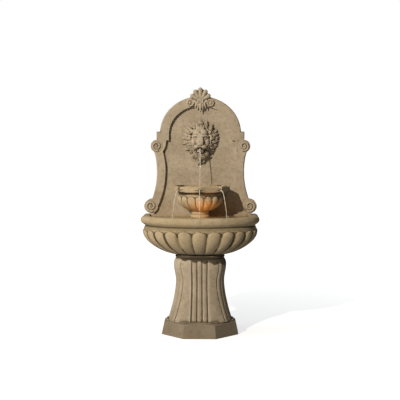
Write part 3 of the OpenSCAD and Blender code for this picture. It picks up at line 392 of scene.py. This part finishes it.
def falling_water(name):
    """Falling water: clear threads broken into beads, painted pale and part opaque as a painted highlight
    for the light they catch.
    """
    material, tree = new_material(name)
    where = add_node(tree, "ShaderNodeTexCoord", {}).outputs["Object"]
    # Beads, about 8 mm long
    beads = add_node(tree, "ShaderNodeTexNoise", {"Vector": where, "Scale": 1000 / 8, "Detail": 2})
    bump = add_node(tree, "ShaderNodeBump", {"Height": beads, "Strength": 0.7, "Distance": 0.002})
    cover = add_node(tree, "ShaderNodeMapRange",
        {"Value": beads, "From Min": 0.4, "From Max": 0.62, "To Min": 0.45, "To Max": 0.95})
    surface = add_node(tree, "ShaderNodeBsdfPrincipled",
        {"Base Color": hex_linear("#d6cfc0"), "Roughness": 0.1, "IOR": 1.33, "Alpha": cover,
            "Normal": bump})
    add_node(tree, "ShaderNodeOutputMaterial", {"Surface": surface})
    return material


def glowing_glass(name):
    """Toughened glass over amber emitters: it glows warm, a little brighter in spots."""
    material, tree = new_material(name)
    where = add_node(tree, "ShaderNodeTexCoord", {}).outputs["Object"]
    # Spots of the emitters, about 8 mm apart
    spots = add_node(tree, "ShaderNodeTexNoise", {"Vector": where, "Scale": 1000 / 8, "Detail": 2})
    share = add_node(tree, "ShaderNodeMapRange", {"Value": spots, "From Min": 0.3, "From Max": 0.7})
    tone = add_node(tree, "ShaderNodeMix",
        {"Factor": share, "A": hex_linear("#ffb651"), "B": hex_linear("#ff9a2e")}, data_type="RGBA")
    glass = add_node(tree, "ShaderNodeBsdfPrincipled",
        {"Base Color": tone, "Roughness": 0.12, "IOR": 1.5,
            "Emission Color": tone, "Emission Strength": 3.0})
    add_node(tree, "ShaderNodeOutputMaterial", {"Surface": glass})
    return material


# The castings come from two pours: that of the panel and the pedestal is a little greyer
grey_stone = cast_stone("grey_stained_cast_stone", "#a49885", "#b5a996", "#8c7e68", "#544836")
tan_stone = cast_stone("tan_stained_cast_stone", "#a59678", "#b6a689", "#8c7c60", "#54472f")
water = still_water("pool_water")
falling = falling_water("falling_water")

FINISHES = {
    # Turned stainless steel: fine lathe marks, grey and bright
    "steel": plain_finish("turned_stainless_steel", "#b4b6b8", "#9fa2a5",
        size_mm=2.0, roughness=0.32, bump_mm=0.05, Metallic=1.0),
    # Machined brass, dulled brown by water
    "brass": plain_finish("weathered_brass", "#5f4e2e", "#4a3b21",
        size_mm=6.0, roughness=0.45, bump_mm=0.05, Metallic=1.0),
    # Moulded EPDM rubber: soft black with a dusty sheen
    "rubber": plain_finish("moulded_rubber", "#1d1d1d", "#282726",
        size_mm=4.0, roughness=0.75, bump_mm=0.1, IOR=1.52),
    # Injection moulded ABS: satin black with a fine spark texture
    "dark_plastic": plain_finish("moulded_abs", "#1b1d1f", "#232628",
        size_mm=1.6, roughness=0.45, bump_mm=0.08, IOR=1.54),
    # Extruded vinyl: smooth black with a soft shine
    "hose_vinyl": plain_finish("extruded_vinyl", "#1a1a1c", "#242427",
        size_mm=10.0, roughness=0.3, bump_mm=0.02, IOR=1.53),
    # Moulded nylon: pale and slightly waxy
    "light_plastic": plain_finish("moulded_nylon", "#dcd8cd", "#cfcabd",
        size_mm=5.0, roughness=0.4, bump_mm=0.04, IOR=1.53),
    # Ground alumina ceramic: hard, white and smooth
    "shaft_ceramic": plain_finish("ground_ceramic", "#e4e2db", "#d9d6cd",
        size_mm=3.0, roughness=0.2, bump_mm=0.01, IOR=1.76),
    # Anodised aluminium: even black with a soft metal sheen
    "lamp_metal": plain_finish("anodised_aluminium", "#303235", "#3a3c40",
        size_mm=2.5, roughness=0.38, bump_mm=0.03, Metallic=1.0),
    # Circuit board in white solder mask: smooth and slightly shiny
    "lamp_emitters": plain_finish("white_circuit_board", "#ece4cc", "#e2d8ba",
        size_mm=4.0, roughness=0.4, bump_mm=0.02, IOR=1.55),
    "lamp_glass": glowing_glass("amber_glass"),
}

for part in frame["record"]["subparts"]:
    finish = FINISHES.get(part["material_slot"])
    if finish:
        nodes[part["node"]].data.materials.clear()
        nodes[part["node"]].data.materials.append(finish)


# The castings

def finish_casting(piece, stone, body, node, rounds, depth):
    """Gives a casting its dirt and painted shade and its stone, and puts it in the place of its solid."""
    mark_dirt_and_shade(piece, rounds, depth)
    smooth_shading(piece)
    piece.data.materials.append(stone)
    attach(piece, body)
    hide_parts(node)


def cast_from(node, stone, body, sharp=38, levels=2, depth=0.003, shape=None):
    piece = bare_copy(node)
    soften(piece, sharp, levels)
    if shape:
        shape(piece)
    finish_casting(piece, stone, body, node, rounds=10, depth=depth)


def round_lobe(number, head):
    """Fullness of a lobe at a lobe number: 1 on its crown, 0 in the crease and beside its round head."""
    across = 2 * np.abs(number - np.round(number))
    width = np.sqrt(np.clip(1 - (1 - np.clip(head, 0, 1)) ** 2, 1e-4, 1))
    return np.sqrt(np.clip(1 - (across / width) ** 2, 0, 1))


def shape_belly(piece):
    """Rounds the basin's lobes, which the solid has in facets."""
    front_lobes = 6
    side_lobes = 2.5
    side_run = 0.183
    head_h = 0.030
    deepest = 0.020
    foot_h = 0.009
    wall = 0.028
    place = read_points(piece.data)
    x, y = place[:, 0].copy(), place[:, 1].copy()
    height = place[:, 2] - SEAT_Z
    low = np.clip(height / BELLY_H, 0, 1)
    wide = BELLY_FOOT_R + (BELLY_R - BELLY_FOOT_R) * (1 - (1 - low) ** 2) ** 0.8
    deep = wide * BELLY_OVAL
    side = y > SIDE_Y
    turn = np.arctan2(np.abs(x) / wide, np.where(side, 0, SIDE_Y - y) / deep)
    # Lobes are counted from the middle of the front, on both sides alike
    number = np.where(side, front_lobes + (y - SIDE_Y) / side_run * side_lobes,
        turn / math.radians(90) * front_lobes)
    reach = np.where(side, np.abs(x) / wide, np.hypot(x / wide, (SIDE_Y - y) / deep))
    head = (LOBE_TOP_H - height) / head_h
    # The creases grow shallower towards the foot, and between the heads
    between_heads = 0.007 + 0.013 * np.clip(head, 0, 1)
    crease = np.where(head < 1, between_heads, deepest * np.clip(0.35 + 2 * height / LOBE_TOP_H, 0, 1))
    out = -crease * (1 - round_lobe(number, head))
    across = np.stack([np.sin(turn) / wide, -np.cos(turn) / deep])
    across /= np.linalg.norm(across, axis=0)
    lobed = (height > foot_h) & (height < LOBE_TOP_H - 0.0005) & (reach > 1 - wall / wide)
    new_x = np.where(side, wide + out, wide * np.sin(turn) + across[0] * out)
    place[:, 0] = np.where(lobed, np.sign(x) * new_x, x)
    place[:, 1] = np.where(lobed & ~side, SIDE_Y - deep * np.cos(turn) + across[1] * out, y)
    move_points(piece, place)


def shape_bowl(piece):
    """Rounds the lobes under the spill bowl's rim."""
    foot_r = 0.060
    top_r = 0.141
    swell = 0.081
    swell_h = 0.075
    lobe_turn = math.radians(360 / 16)
    lobe_top_h = 0.089
    head_h = 0.024
    deepest = 0.010
    wall = 0.0115
    place = read_points(piece.data)
    x, y = place[:, 0].copy(), place[:, 1] - BOWL_Y
    height = place[:, 2] - BOWL_FOOT_Z
    low = np.clip(height / swell_h, 0, 1)
    head = (lobe_top_h - height) / head_h
    wide = np.where(head < 1, top_r - 0.004 * (1 - np.clip(head, 0, 1)) ** 2,
        foot_r + swell * (1 - (1 - low) ** 2) ** 0.75)
    number = np.arctan2(x, -y) / lobe_turn
    crease = deepest * np.clip(0.3 + 3 * height / lobe_top_h, 0, 1)
    reach = np.hypot(x, y)
    lobed = (height > 0.003) & (height < lobe_top_h - 0.0005)
    lobed &= (reach > wide - wall) & (place[:, 1] < BOWL_BACK_Y - 0.003)
    rounded = (wide - crease * (1 - round_lobe(number, head))) / np.maximum(reach, 0.001)
    scale = np.where(lobed, rounded, 1)
    place[:, 0] = x * scale
    place[:, 1] = BOWL_Y + y * scale
    move_points(piece, place)


def shaft_width(height):
    """Half width of the shaft at a height above the plinth: foot, waist and the neck under the basin."""
    waist_h = 0.228
    neck_h = 0.328
    foot = WAIST_R + 0.046 * np.clip(1 - height / waist_h, 0, 1) ** 1.6
    waist = WAIST_R + 0.013 * np.sin(np.radians(90) * np.clip((height - waist_h) / 0.100, 0, 1)) ** 2
    neck = 0.141 + 0.017 * np.sqrt(1 - np.clip((height - neck_h) / 0.036, 0, 1) ** 2)
    return np.where(height < waist_h, foot, np.where(height < neck_h, waist, neck))


def shaft_reach(turn):
    """Reach of the shaft's round-cornered section at an angle, for a half width of 1."""
    return (np.sin(turn) ** SHAFT_POWER + np.cos(turn) ** SHAFT_POWER) ** (-1 / SHAFT_POWER)


def shape_shaft(piece):
    """Adds one more reed at each corner of the shaft, round which the side groups reach."""
    side_reeds = 2.5
    reed_top_h = 0.361
    fade_h = 0.012
    groove = 0.009
    flank_run = 0.25
    wall = 0.016
    turns = np.radians(np.linspace(0, 90, 181))
    unit = shaft_reach(turns)
    path = np.stack([unit * np.sin(turns), -SHAFT_OVAL * unit * np.cos(turns)])
    run = np.concatenate([[0], np.cumsum(np.linalg.norm(np.diff(path), axis=0))])

    def corner_numbers():
        """All points and how each lies; the reed number is 0 at the side group and 1 past the reed."""
        place = read_points(piece.data)
        height = place[:, 2] - SHAFT_Z
        wide = shaft_width(height)
        reed = REED * (1 + 0.4 * (wide / WAIST_R - 1))
        far = np.abs(place[:, 1] - SHAFT_Y)
        turn = np.arctan2(np.abs(place[:, 0]), far / SHAFT_OVAL)
        edge = np.interp(-side_reeds * reed / wide, path[1], run)
        number = (edge - np.interp(turn, turns, run)) * wide / reed
        shell = np.hypot(place[:, 0], far / SHAFT_OVAL) > wide - wall
        shell &= (height > -0.003) & (height < reed_top_h + 0.001)
        return place, height, wide, turn, number, shell

    *_, number, shell = corner_numbers()
    near = shell & (number > -0.3) & (number < 1.5)
    faces = piece.data.polygons
    take(piece)
    piece.data.vertices.foreach_set("select", near)
    faces.foreach_set("select", [all(near[i] for i in face.vertices) for face in faces])
    bpy.ops.object.mode_set(mode="EDIT")
    bpy.ops.mesh.select_mode(type="FACE")
    bpy.ops.mesh.subdivide(number_cuts=2)
    bpy.ops.object.mode_set(mode="OBJECT")

    place, height, wide, turn, number, shell = corner_numbers()
    reeded = shell & (number > -0.27) & (number < 1 + flank_run)
    crown = np.sqrt(np.clip(1 - (2 * (np.mod(number, 1) - 0.5)) ** 2, 0, 1))
    flank = np.clip((number - 1) / flank_run, 0, 1)
    fullness = np.where(number > 1, flank, crown)
    fade = np.clip((reed_top_h - height) / fade_h, 0, 1)
    size = shaft_reach(turn) * wide - groove * fade * (1 - fullness)
    new_y = SHAFT_Y + np.sign(place[:, 1] - SHAFT_Y) * SHAFT_OVAL * size * np.cos(turn)
    place[:, 0] = np.where(reeded, np.sign(place[:, 0]) * size * np.sin(turn), place[:, 0])
    place[:, 1] = np.where(reeded, new_y, place[:, 1])
    move_points(piece, place)


cast_from("pedestal", grey_stone, "fountain", shape=shape_shaft)
cast_from("basin", tan_stone, "fountain", shape=shape_belly)
cast_from("spill_bowl", tan_stone, "bowl", depth=0.002, shape=shape_bowl)
cast_from("bowl_foot", tan_stone, "fountain", sharp=30, levels=1, depth=0.002)


# Sculpted pieces: lumps and tapering strands pressed together like clay

def lump(at, radii, turn=(0, 0, 0), sides=20):
    bpy.ops.mesh.primitive_uv_sphere_add(segments=sides, ring_count=sides // 2 + 2, radius=1,
        location=at, rotation=turn)
    piece = bpy.context.object
    piece.scale = radii
    return piece


def disc(at, radius, thick, sides):
    """Disc that faces the front."""
    bpy.ops.mesh.primitive_cylinder_add(vertices=sides, radius=radius, depth=thick,
        location=at, rotation=(math.radians(90), 0, 0))
    return bpy.context.object


def strand(points, radii):
    """Rod through the points, with a radius at each of them."""
    curve = bpy.data.curves.new("strand", "CURVE")
    curve.dimensions = "3D"
    curve.resolution_u = 4
    curve.bevel_depth = 1.0
    curve.bevel_resolution = 2
    curve.use_fill_caps = True
    line = curve.splines.new("NURBS")
    line.points.add(len(points) - 1)
    for knot, place, radius in zip(line.points, points, radii):
        knot.co = (*place, 1)
        knot.radius = radius
    line.order_u = 3
    line.use_endpoint_u = True
    piece = bpy.data.objects.new("strand", curve)
    bpy.context.scene.collection.objects.link(piece)
    return piece


def press_together(parts, name, grain, cut_at_y):
    """Joins clay parts into one skin, smooths it, and cuts it flat at the plane it lies on."""
    take(*parts)
    bpy.ops.object.convert(target="MESH")
    piece = join(parts, name)
    apply_modifier(piece, "REMESH", mode="VOXEL", voxel_size=grain)
    apply_modifier(piece, "SMOOTH", factor=0.5, iterations=1)
    take(piece)
    bpy.ops.object.mode_set(mode="EDIT")
    bpy.ops.mesh.select_all(action="SELECT")
    bpy.ops.mesh.bisect(plane_co=(0, cut_at_y, 0), plane_no=(0, 1, 0), use_fill=True, clear_outer=True)
    bpy.ops.object.mode_set(mode="OBJECT")
    return piece


def carve(piece, cutter):
    take(cutter)
    bpy.ops.object.transform_apply(location=True, rotation=True, scale=True)
    apply_modifier(piece, "BOOLEAN", operation="DIFFERENCE", object=cutter, solver="EXACT")
    bpy.data.objects.remove(cutter)


def mane_reach(turn):
    """Reach of the mane at an angle, 0 towards +X and 90 upwards: wide above, pointed at the beard."""
    side_reach = 0.112
    rise = math.sin(math.radians(turn))
    if rise >= 0:
        return side_reach + 0.018 * min(1, rise * 1.25)
    return side_reach + 0.014 * rise + 0.044 * (-rise) ** 16


def lock(root, tip, outs, thick, spread, bend):
    """Pointed lock of three strands that meet at its tip. Root and tip are places on the mask, and
    outs says how far its root, its middle and its tip stand out."""
    root_out, high_out, tip_out = outs
    way = (tip[0] - root[0], tip[1] - root[1])
    length = math.hypot(*way)
    aside = (-way[1] / length, way[0] / length)
    # Along a strand: share of the way, how far it lies aside, its thickness and how far it stands out
    knots = ((0, 0.9, 0.85, root_out), (0.35, 1, 1, high_out),
        (0.7, 0.6, 0.8, (high_out + tip_out) / 2 + 0.002), (1, 0.1, 0.25, tip_out))
    strands = []
    for k in (-1, 0, 1):
        middle = (k == 0) * 0.002
        points, radii = [], []
        for t, wide, fat, out in knots:
            shift = k * spread * wide + bend * math.sin(2.6 * t)
            points.append((root[0] + way[0] * t + aside[0] * shift, FIELD_Y - out - middle,
                MANE_Z + root[1] + way[1] * t + aside[1] * shift))
            radii.append(thick * fat)
        strands.append(strand(points, radii))
    return strands


def mane_row(count, start, end, outs, thick, spread, seed):
    """One row of locks round the face."""
    locks = []
    for i in range(count):
        turn = -90 + (i + 0.5) * 360 / count + 3 * math.sin(i * 2.4 + seed)
        rise = math.sin(math.radians(turn))
        root = start * (1 + (0.20 * rise if rise > 0 else 0.35 * rise ** 4))
        tip = end * (1 + 0.07 * math.sin(i * 3.1 + seed))
        lean = turn + 4 * math.sin(i * 1.9 + seed)
        a, b = math.radians(turn), math.radians(lean)
        near, far = mane_reach(turn) * root, mane_reach(lean) * tip
        locks += lock((near * math.cos(a), near * math.sin(a)), (far * math.cos(b), far * math.sin(b)),
            outs, thick, spread, bend=0.005 * math.sin(i * 2.9 + seed))
    return locks


def comb_mane(piece):
    """Presses fine grooves into the locks, which run outwards with a slight wave."""
    grooves = 60
    groove_depth = 0.0021
    place, normal = read_points(piece.data), read_points(piece.data, "normal")
    x, z = place[:, 0], place[:, 2] - MANE_Z
    turn = np.degrees(np.arctan2(z, x))
    reach = np.array([mane_reach(t) for t in turn])
    share = np.hypot(x, z) / reach
    hair = np.clip((share - 0.54 - 0.13 * np.clip(z / 0.1, 0, 1)) / 0.06, 0, 1)
    wave = turn + 5 * np.sin(share * 11 + turn / 17)
    groove = (0.5 + 0.5 * np.cos(np.radians(wave * grooves))) ** 1.5
    move_points(piece, place - normal * (groove_depth * hair * groove)[:, None])


def volute(at_x, at_z, radius, hand):
    """Rounded band that winds inwards one and a half times, with an eye."""
    start_turn = -110
    whole_turn = 560
    last = 28
    points, radii = [], []
    for i in range(last + 1):
        t = i / last
        turn = math.radians(start_turn + whole_turn * t)
        away = radius * (0.76 - 0.60 * t)
        fat = radius * (0.17 - 0.05 * t)
        points.append((at_x + hand * away * math.cos(turn), BORDER_Y - 0.0068 + fat,
            at_z + away * math.sin(turn)))
        radii.append(fat)
    return [disc((at_x, BORDER_Y + 0.0095, at_z), radius - 0.0015, thick=0.014, sides=56),
        strand(points, radii),
        lump((at_x, BORDER_Y + 0.001, at_z), (radius * 0.15, 0.007, radius * 0.15))]


def build_panel():
    """The panel, its flat spirals given way to rounded volutes."""
    scroll_sink = 0.004
    back_of_volutes = BORDER_Y + 0.012
    piece = bare_copy("back_panel")
    soften(piece, sharp=20, levels=1)
    place = read_points(piece.data)
    parts = []
    for at_x, at_z, radius in (UPPER_SCROLL, LOWER_SCROLL):
        inside = np.hypot(np.abs(place[:, 0]) - at_x, place[:, 2] - at_z) < radius + 0.0005
        place[inside, 1] = np.maximum(place[inside, 1], BORDER_Y + scroll_sink)
        for side in (-1, 1):
            parts += volute(side * at_x, at_z, radius, side)
    move_points(piece, place)
    volutes = press_together(parts, "volutes", grain=0.0016, cut_at_y=back_of_volutes)
    return join([piece, volutes], "back_panel_cast")


def on_mask(x, out, up):
    """Place across the mask, out from the field and up from the mane's middle."""
    return x, FIELD_Y - out, MANE_Z + up


def build_lion():
    grain = 0.0019
    parts = [lump(on_mask(0, 0, 0.006), (0.100, 0.012, 0.112), sides=32),
        lump(on_mask(0, 0.002, 0), (0.070, 0.030, 0.074), sides=32)]
    for row in MANE_ROWS:
        parts += mane_row(*row)
    # Skull, jaw and nose
    parts += [lump(on_mask(0, 0.036, 0.016), (0.052, 0.034, 0.060), sides=28),
        lump(on_mask(0, 0.063, -0.061), (0.021, 0.018, 0.012)),
        lump(on_mask(0, 0.0885, -0.019), (0.0180, 0.0080, 0.0085)),
        strand([on_mask(0, 0.084, -0.026), on_mask(0, 0.086, -0.036)], [0.005, 0.003])]
    # Broad flat bridge of the nose
    for x in (-0.010, -0.005, 0, 0.005, 0.010):
        parts.append(strand([on_mask(x * 0.9, 0.065, 0.044), on_mask(x, 0.076, 0.018),
            on_mask(x * 1.1, 0.082, -0.014)], [0.0080, 0.0085, 0.0090]))
    # Brow, cheek, muzzle and the ridge over the eye
    for side in (-1, 1):
        parts += [lump(on_mask(side * 0.018, 0.044, 0.048), (0.027, 0.027, 0.026)),
            lump(on_mask(side * 0.040, 0.040, -0.006), (0.017, 0.026, 0.028)),
            lump(on_mask(side * 0.0195, 0.070, -0.034), (0.0215, 0.0200, 0.0145)),
            strand([on_mask(side * 0.016, 0.072, 0.030), on_mask(side * 0.030, 0.072, 0.036),
                on_mask(side * 0.048, 0.056, 0.026)], [0.0060, 0.0065, 0.0050])]
    for x, z in TUFT:
        parts += lock((x * 0.4, 0.062), (x, z), (0.058, 0.055, 0.024),
            thick=0.0038, spread=0.0060, bend=x * 0.12)
    for x, z in BEARD:
        parts += lock((x * 0.62, -0.074), (x, z), (0.050, 0.046, 0.008),
            thick=0.0043, spread=0.0066, bend=x * 0.08)
    piece = press_together(parts, "lion_mask_cast", grain, FIELD_Y)
    # Mouth, eye sockets and nostrils
    carve(piece, lump((0, FIELD_Y - 0.084, MOUTH_Z + 0.003), (0.0200, 0.026, 0.0068)))
    for side in (-1, 1):
        carve(piece, lump(on_mask(side * 0.0310, 0.080, 0.017), (0.0115, 0.0190, 0.0085),
            turn=(0, side * 0.35, 0)))
        carve(piece, lump(on_mask(side * 0.0080, 0.0975, -0.023), (0.0038, 0.005, 0.0028)))
    eyes = [lump(on_mask(side * 0.0300, 0.0600, 0.0165), (0.0072, 0.0080, 0.0058)) for side in (-1, 1)]
    piece = press_together([piece] + eyes, "lion_mask_cast", grain, FIELD_Y)
    comb_mane(piece)
    return piece


def ring_points(at_x, at_z, radius, y, steps=16):
    turns = [2 * math.pi * i / steps for i in range(steps + 1)]
    return [(at_x + radius * math.cos(turn), y, at_z + radius * math.sin(turn)) for turn in turns]


def build_crest():
    front = BORDER_Y
    face = front - 0.008
    tip_z = 1.4590
    lobe_turn = 29
    parts = [lump((0, front + 0.004, HUB_Z + 0.022), (0.052, 0.012, 0.050), sides=28),
        lump((0, front, HUB_Z - 0.004), (0.046, 0.010, 0.022))]
    # Lobes of the shell, from one side to the other
    for step in (-2, -1, 0, 1, 2):
        a = math.radians(lobe_turn * step)
        length = (tip_z - HUB_Z) * (1, 0.93, 0.85)[abs(step)]
        tip = (length * math.sin(a), face, HUB_Z + length * math.cos(a))
        root = (0, face - 0.004, HUB_Z)
        near = [root[i] + (tip[i] - root[i]) * 0.3 for i in range(3)]
        mid = [root[i] + (tip[i] - root[i]) * 0.65 for i in range(3)]
        parts.append(strand([root, near, mid, tip], [0.0050, 0.0072, 0.0112, 0.0140]))
        parts.append(lump(tip, (0.0142, 0.0135, 0.0142)))
        parts.append(strand([tip, (tip[0], tip[1] + 0.034, tip[2] - 0.004)], [0.0125, 0.0115]))
        parts.append(lump((mid[0], face + 0.014, mid[2]), (0.012, 0.014, 0.018)))
    for x, end_x, hang, thick in LEAVES:
        for side in ((1,) if x == 0 else (-1, 1)):
            parts.append(strand([(side * x, front - 0.010, HUB_Z - 0.012),
                (side * (x + end_x) / 2, front - 0.013, HUB_Z - hang * 0.55),
                (side * end_x, front - 0.004, HUB_Z - hang)], [thick, thick * 0.95, 0.0018]))
    # Beads on the hub
    for i in (-1, 0, 1):
        parts.append(lump((i * 0.0125, face - 0.007, HUB_Z + 0.001 - abs(i) * 0.004),
            (0.0068, 0.0085, 0.0135)))
    # Small scrolls beside the shell, each with a ring, an eye and a stem
    for side in (-1, 1):
        at_x, at_z = side * 0.060, HUB_Z - 0.011
        ring = ring_points(at_x, at_z, radius=0.0185, y=face - 0.001)
        parts.append(disc((at_x, face + 0.009, at_z), radius=0.0235, thick=0.020, sides=40))
        parts.append(strand(ring, [0.0048] * len(ring)))
        parts.append(lump((at_x + side * 0.003, face - 0.002, at_z), (0.0082, 0.0080, 0.0082)))
        parts.append(strand([(side * 0.018, front - 0.008, HUB_Z - 0.012),
            (side * 0.042, front - 0.008, HUB_Z + 0.002)], [0.010, 0.008]))
    return press_together(parts, "crest_shell_cast", grain=0.0014, cut_at_y=FIELD_Y)


finish_casting(build_panel(), grey_stone, "fountain", "back_panel", rounds=10, depth=0.003)
finish_casting(build_lion(), grey_stone, "fountain", "lion_mask", rounds=12, depth=0.0022)
finish_casting(build_crest(), grey_stone, "fountain", "crest_shell", rounds=12, depth=0.0022)


# Water

def wet(piece, finish):
    piece.data.materials.clear()
    piece.data.materials.append(finish)
    smooth_shading(piece, angle=60)


def pool_outline(radius, oval, middle_y, back_y, step):
    """Outline of a pool: an oval front with a point every few degrees, and a straight back."""
    turns = [math.radians(degrees) for degrees in range(-90, 91, step)]
    front = [(radius * math.sin(turn), middle_y - radius * oval * math.cos(turn)) for turn in turns]
    return [(-radius, back_y)] + front + [(radius, back_y)]


def water_sheet(name, outline, z, body):
    """Level sheet of water 3 mm thick inside an outline."""
    bpy.ops.mesh.primitive_circle_add(vertices=len(outline), fill_type="NGON", location=(0, 0, z))
    piece = settle(bpy.context.object, name)
    for corner, place in zip(piece.data.vertices, outline):
        corner.co = (*place, z)
    take(piece)
    bpy.ops.object.mode_set(mode="EDIT")
    bpy.ops.mesh.select_all(action="SELECT")
    bpy.ops.mesh.extrude_region_move(TRANSFORM_OT_translate={"value": (0, 0, -0.003)})
    bpy.ops.mesh.select_all(action="SELECT")
    bpy.ops.mesh.normals_make_consistent(inside=False)
    bpy.ops.object.mode_set(mode="OBJECT")
    wet(piece, water)
    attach(piece, body)


def fall(start, speed, low_z):
    """Points of a jet that leaves start at a speed in m/s and falls to low_z."""
    steps = 12
    time = math.sqrt((start[2] - low_z) * 2 / GRAVITY)
    points = []
    for i in range(steps + 1):
        t = time * i / steps
        points.append((start[0] + speed[0] * t, start[1] + speed[1] * t,
            start[2] - GRAVITY * t * t / 2))
    return points


def stream(points, thick, seed):
    """Thread of water that thins as it falls and swells into beads."""
    last = len(points) - 1
    radii = []
    for i in range(last + 1):
        bead = 1 + 0.3 * math.sin(i * 2.3 + seed)
        radii.append(thick * (1 - 0.45 * i / last) * bead)
    return strand(points, radii)


def drops(at, spread, count, size, seed):
    """Drops that jump round the place where a stream lands."""
    made = []
    for i in range(count):
        a = i * 2.4 + seed
        away = spread * (0.4 + 0.6 * ((i * 0.618 + seed) % 1))
        rise = 0.016 * ((i * 0.37 + seed) % 1) + 0.002
        r = size * (0.6 + 0.6 * ((i * 0.77 + seed) % 1))
        place = (at[0] + away * math.cos(a), at[1] + away * math.sin(a), at[2] + rise)
        made.append(lump(place, (r, r, r * 1.3), sides=8))
    return made


def falling_piece(name, parts):
    """Falling water, joined into one piece and baked in its place."""
    take(*parts)
    bpy.ops.object.convert(target="MESH")
    piece = join(parts, name)
    wet(piece, falling)
    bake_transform(piece)


def build_water():
    water_sheet("pool_water", pool_outline(POOL_R, POOL_OVAL, SIDE_Y, LEDGE_Y - 0.001, step=6),
        POOL_WATER_Z, "fountain")
    water_sheet("bowl_water", pool_outline(BOWL_WATER_R, 1, BOWL_Y, BOWL_BACK_Y, step=NOTCH_TURN),
        BOWL_WATER_Z, "bowl")

    jet = fall((0, FIELD_Y - 0.080, MOUTH_Z - 0.001), speed=(0, -0.20, 0), low_z=BOWL_WATER_Z)
    pour = [stream(jet, thick=0.0040, seed=0.4)]
    pour += drops(jet[-1], spread=0.022, count=12, size=0.0020, seed=0.2)
    falling_piece("mouth_stream", pour)

    # One jet at each notch: the front one is slower than the two beside it
    spills = []
    for turn, speed, seed in ((0, 0.14, 0.7), (NOTCH_TURN, 0.26, 1.9), (-NOTCH_TURN, 0.26, 3.3)):
        out = Vector((math.sin(math.radians(turn)), -math.cos(math.radians(turn)), 0))
        lip = Vector((0, BOWL_Y, NOTCH_Z + 0.0015)) + out * (BOWL_R - 0.026)
        edge = Vector((0, BOWL_Y, NOTCH_Z)) + out * (BOWL_R + 0.001)
        jet = fall(tuple(edge), speed=tuple(out * speed), low_z=POOL_WATER_Z)
        over_lip = [tuple(lip), tuple(lip + (edge - lip) * 0.6)] + jet[:2]
        spills.append(strand(over_lip, [0.0050, 0.0050, 0.0040, 0.0032]))
        spills.append(stream(jet, thick=0.0030, seed=seed))
        spills += drops(jet[-1], spread=0.018, count=8, size=0.0018, seed=seed)
    falling_piece("spill_streams", spills)


build_water()


# Light and ground

def build_ground():
    """Pale ground that takes the shadow and is as white as the backdrop far from the fountain."""
    bpy.ops.mesh.primitive_plane_add(size=40, location=(0, 6, 0))
    ground = bpy.context.object
    ground.name = "ground"
    material, tree = new_material("pale_ground")
    path = add_node(tree, "ShaderNodeLightPath", {})
    seen = add_node(tree, "ShaderNodeMath",
        {"Value": path.outputs["Is Camera Ray"]}, operation="MULTIPLY")
    where = add_node(tree, "ShaderNodeNewGeometry", {}).outputs["Position"]
    away = add_node(tree, "ShaderNodeVectorMath", {"Vector": where}, operation="LENGTH").outputs["Value"]
    level = add_node(tree, "ShaderNodeMapRange",
        {"Value": away, "From Min": 0.3, "From Max": 2.5, "To Min": 0.75, "To Max": 1.0})
    tree.links.new(level.outputs[0], seen.inputs[1])
    matt = add_node(tree, "ShaderNodeBsdfDiffuse", {"Color": hex_linear("#b6b8bb")})
    glow = add_node(tree, "ShaderNodeEmission", {"Color": hex_linear("#ffffff"), "Strength": seen})
    both = add_node(tree, "ShaderNodeAddShader", {})
    tree.links.new(matt.outputs[0], both.inputs[0])
    tree.links.new(glow.outputs[0], both.inputs[1])
    add_node(tree, "ShaderNodeOutputMaterial", {"Surface": both})
    ground.data.materials.append(material)


def build_world():
    """Soft light, stronger from the left, and a plain white backdrop for what looks straight at it."""
    world = bpy.data.worlds.new("studio")
    bpy.context.scene.world = world
    world.use_nodes = True
    tree = world.node_tree
    tree.nodes.clear()
    path = add_node(tree, "ShaderNodeLightPath", {})
    seen = add_node(tree, "ShaderNodeMath", {}, operation="MAXIMUM")
    tree.links.new(path.outputs["Is Camera Ray"], seen.inputs[0])
    tree.links.new(path.outputs["Is Glossy Ray"], seen.inputs[1])
    where = add_node(tree, "ShaderNodeTexCoord", {}).outputs["Generated"]
    side = add_node(tree, "ShaderNodeSeparateXYZ", {"Vector": where}).outputs["X"]
    level = add_node(tree, "ShaderNodeMapRange",
        {"Value": side, "From Min": -0.7, "From Max": 0.5, "To Min": 0.28, "To Max": 0.01})
    soft = add_node(tree, "ShaderNodeBackground", {"Color": hex_linear("#eef1f6"), "Strength": level})
    white = add_node(tree, "ShaderNodeBackground", {"Color": hex_linear("#ffffff"), "Strength": 1.0})
    both = add_node(tree, "ShaderNodeMixShader", {"Fac": seen})
    tree.links.new(soft.outputs[0], both.inputs[1])
    tree.links.new(white.outputs[0], both.inputs[2])
    add_node(tree, "ShaderNodeOutputWorld", {"Surface": both})


def add_light(name, kind, place, target, energy, colour, **settings):
    lamp = bpy.data.lights.new(name, kind)
    lamp.energy = energy
    lamp.color = hex_linear(colour)[:3]
    for key, value in settings.items():
        setattr(lamp, key, value)
    holder = bpy.data.objects.new(name, lamp)
    holder.location = place
    holder.rotation_euler = (Vector(place) - Vector(target)).to_track_quat("Z", "Y").to_euler()
    bpy.context.scene.collection.objects.link(holder)


build_ground()
build_world()
# The key stands to the left of the camera, near enough to fade towards the right and the ground
add_light("key", "AREA", place=(-2.80, -4.60, 3.38), target=(0, 0, 0.75),
    energy=362, colour="#fff1dc", size=0.16)
# A broad soft light from the left
add_light("side", "SUN", place=(-5.2, -1.2, 2.6), target=(0, 0, 0),
    energy=0.6, colour="#f6f7fa", angle=math.radians(20))
# The glow of the lamp under the water, where it leaves the pool
add_light("amber_glow", "AREA", place=(0.025, -0.095, 0.699), target=(0.005, 0.03, 0.80),
    energy=0.14, colour="#ff9c1c", size=0.16)

bpy.context.scene.view_settings.view_transform = "Standard"
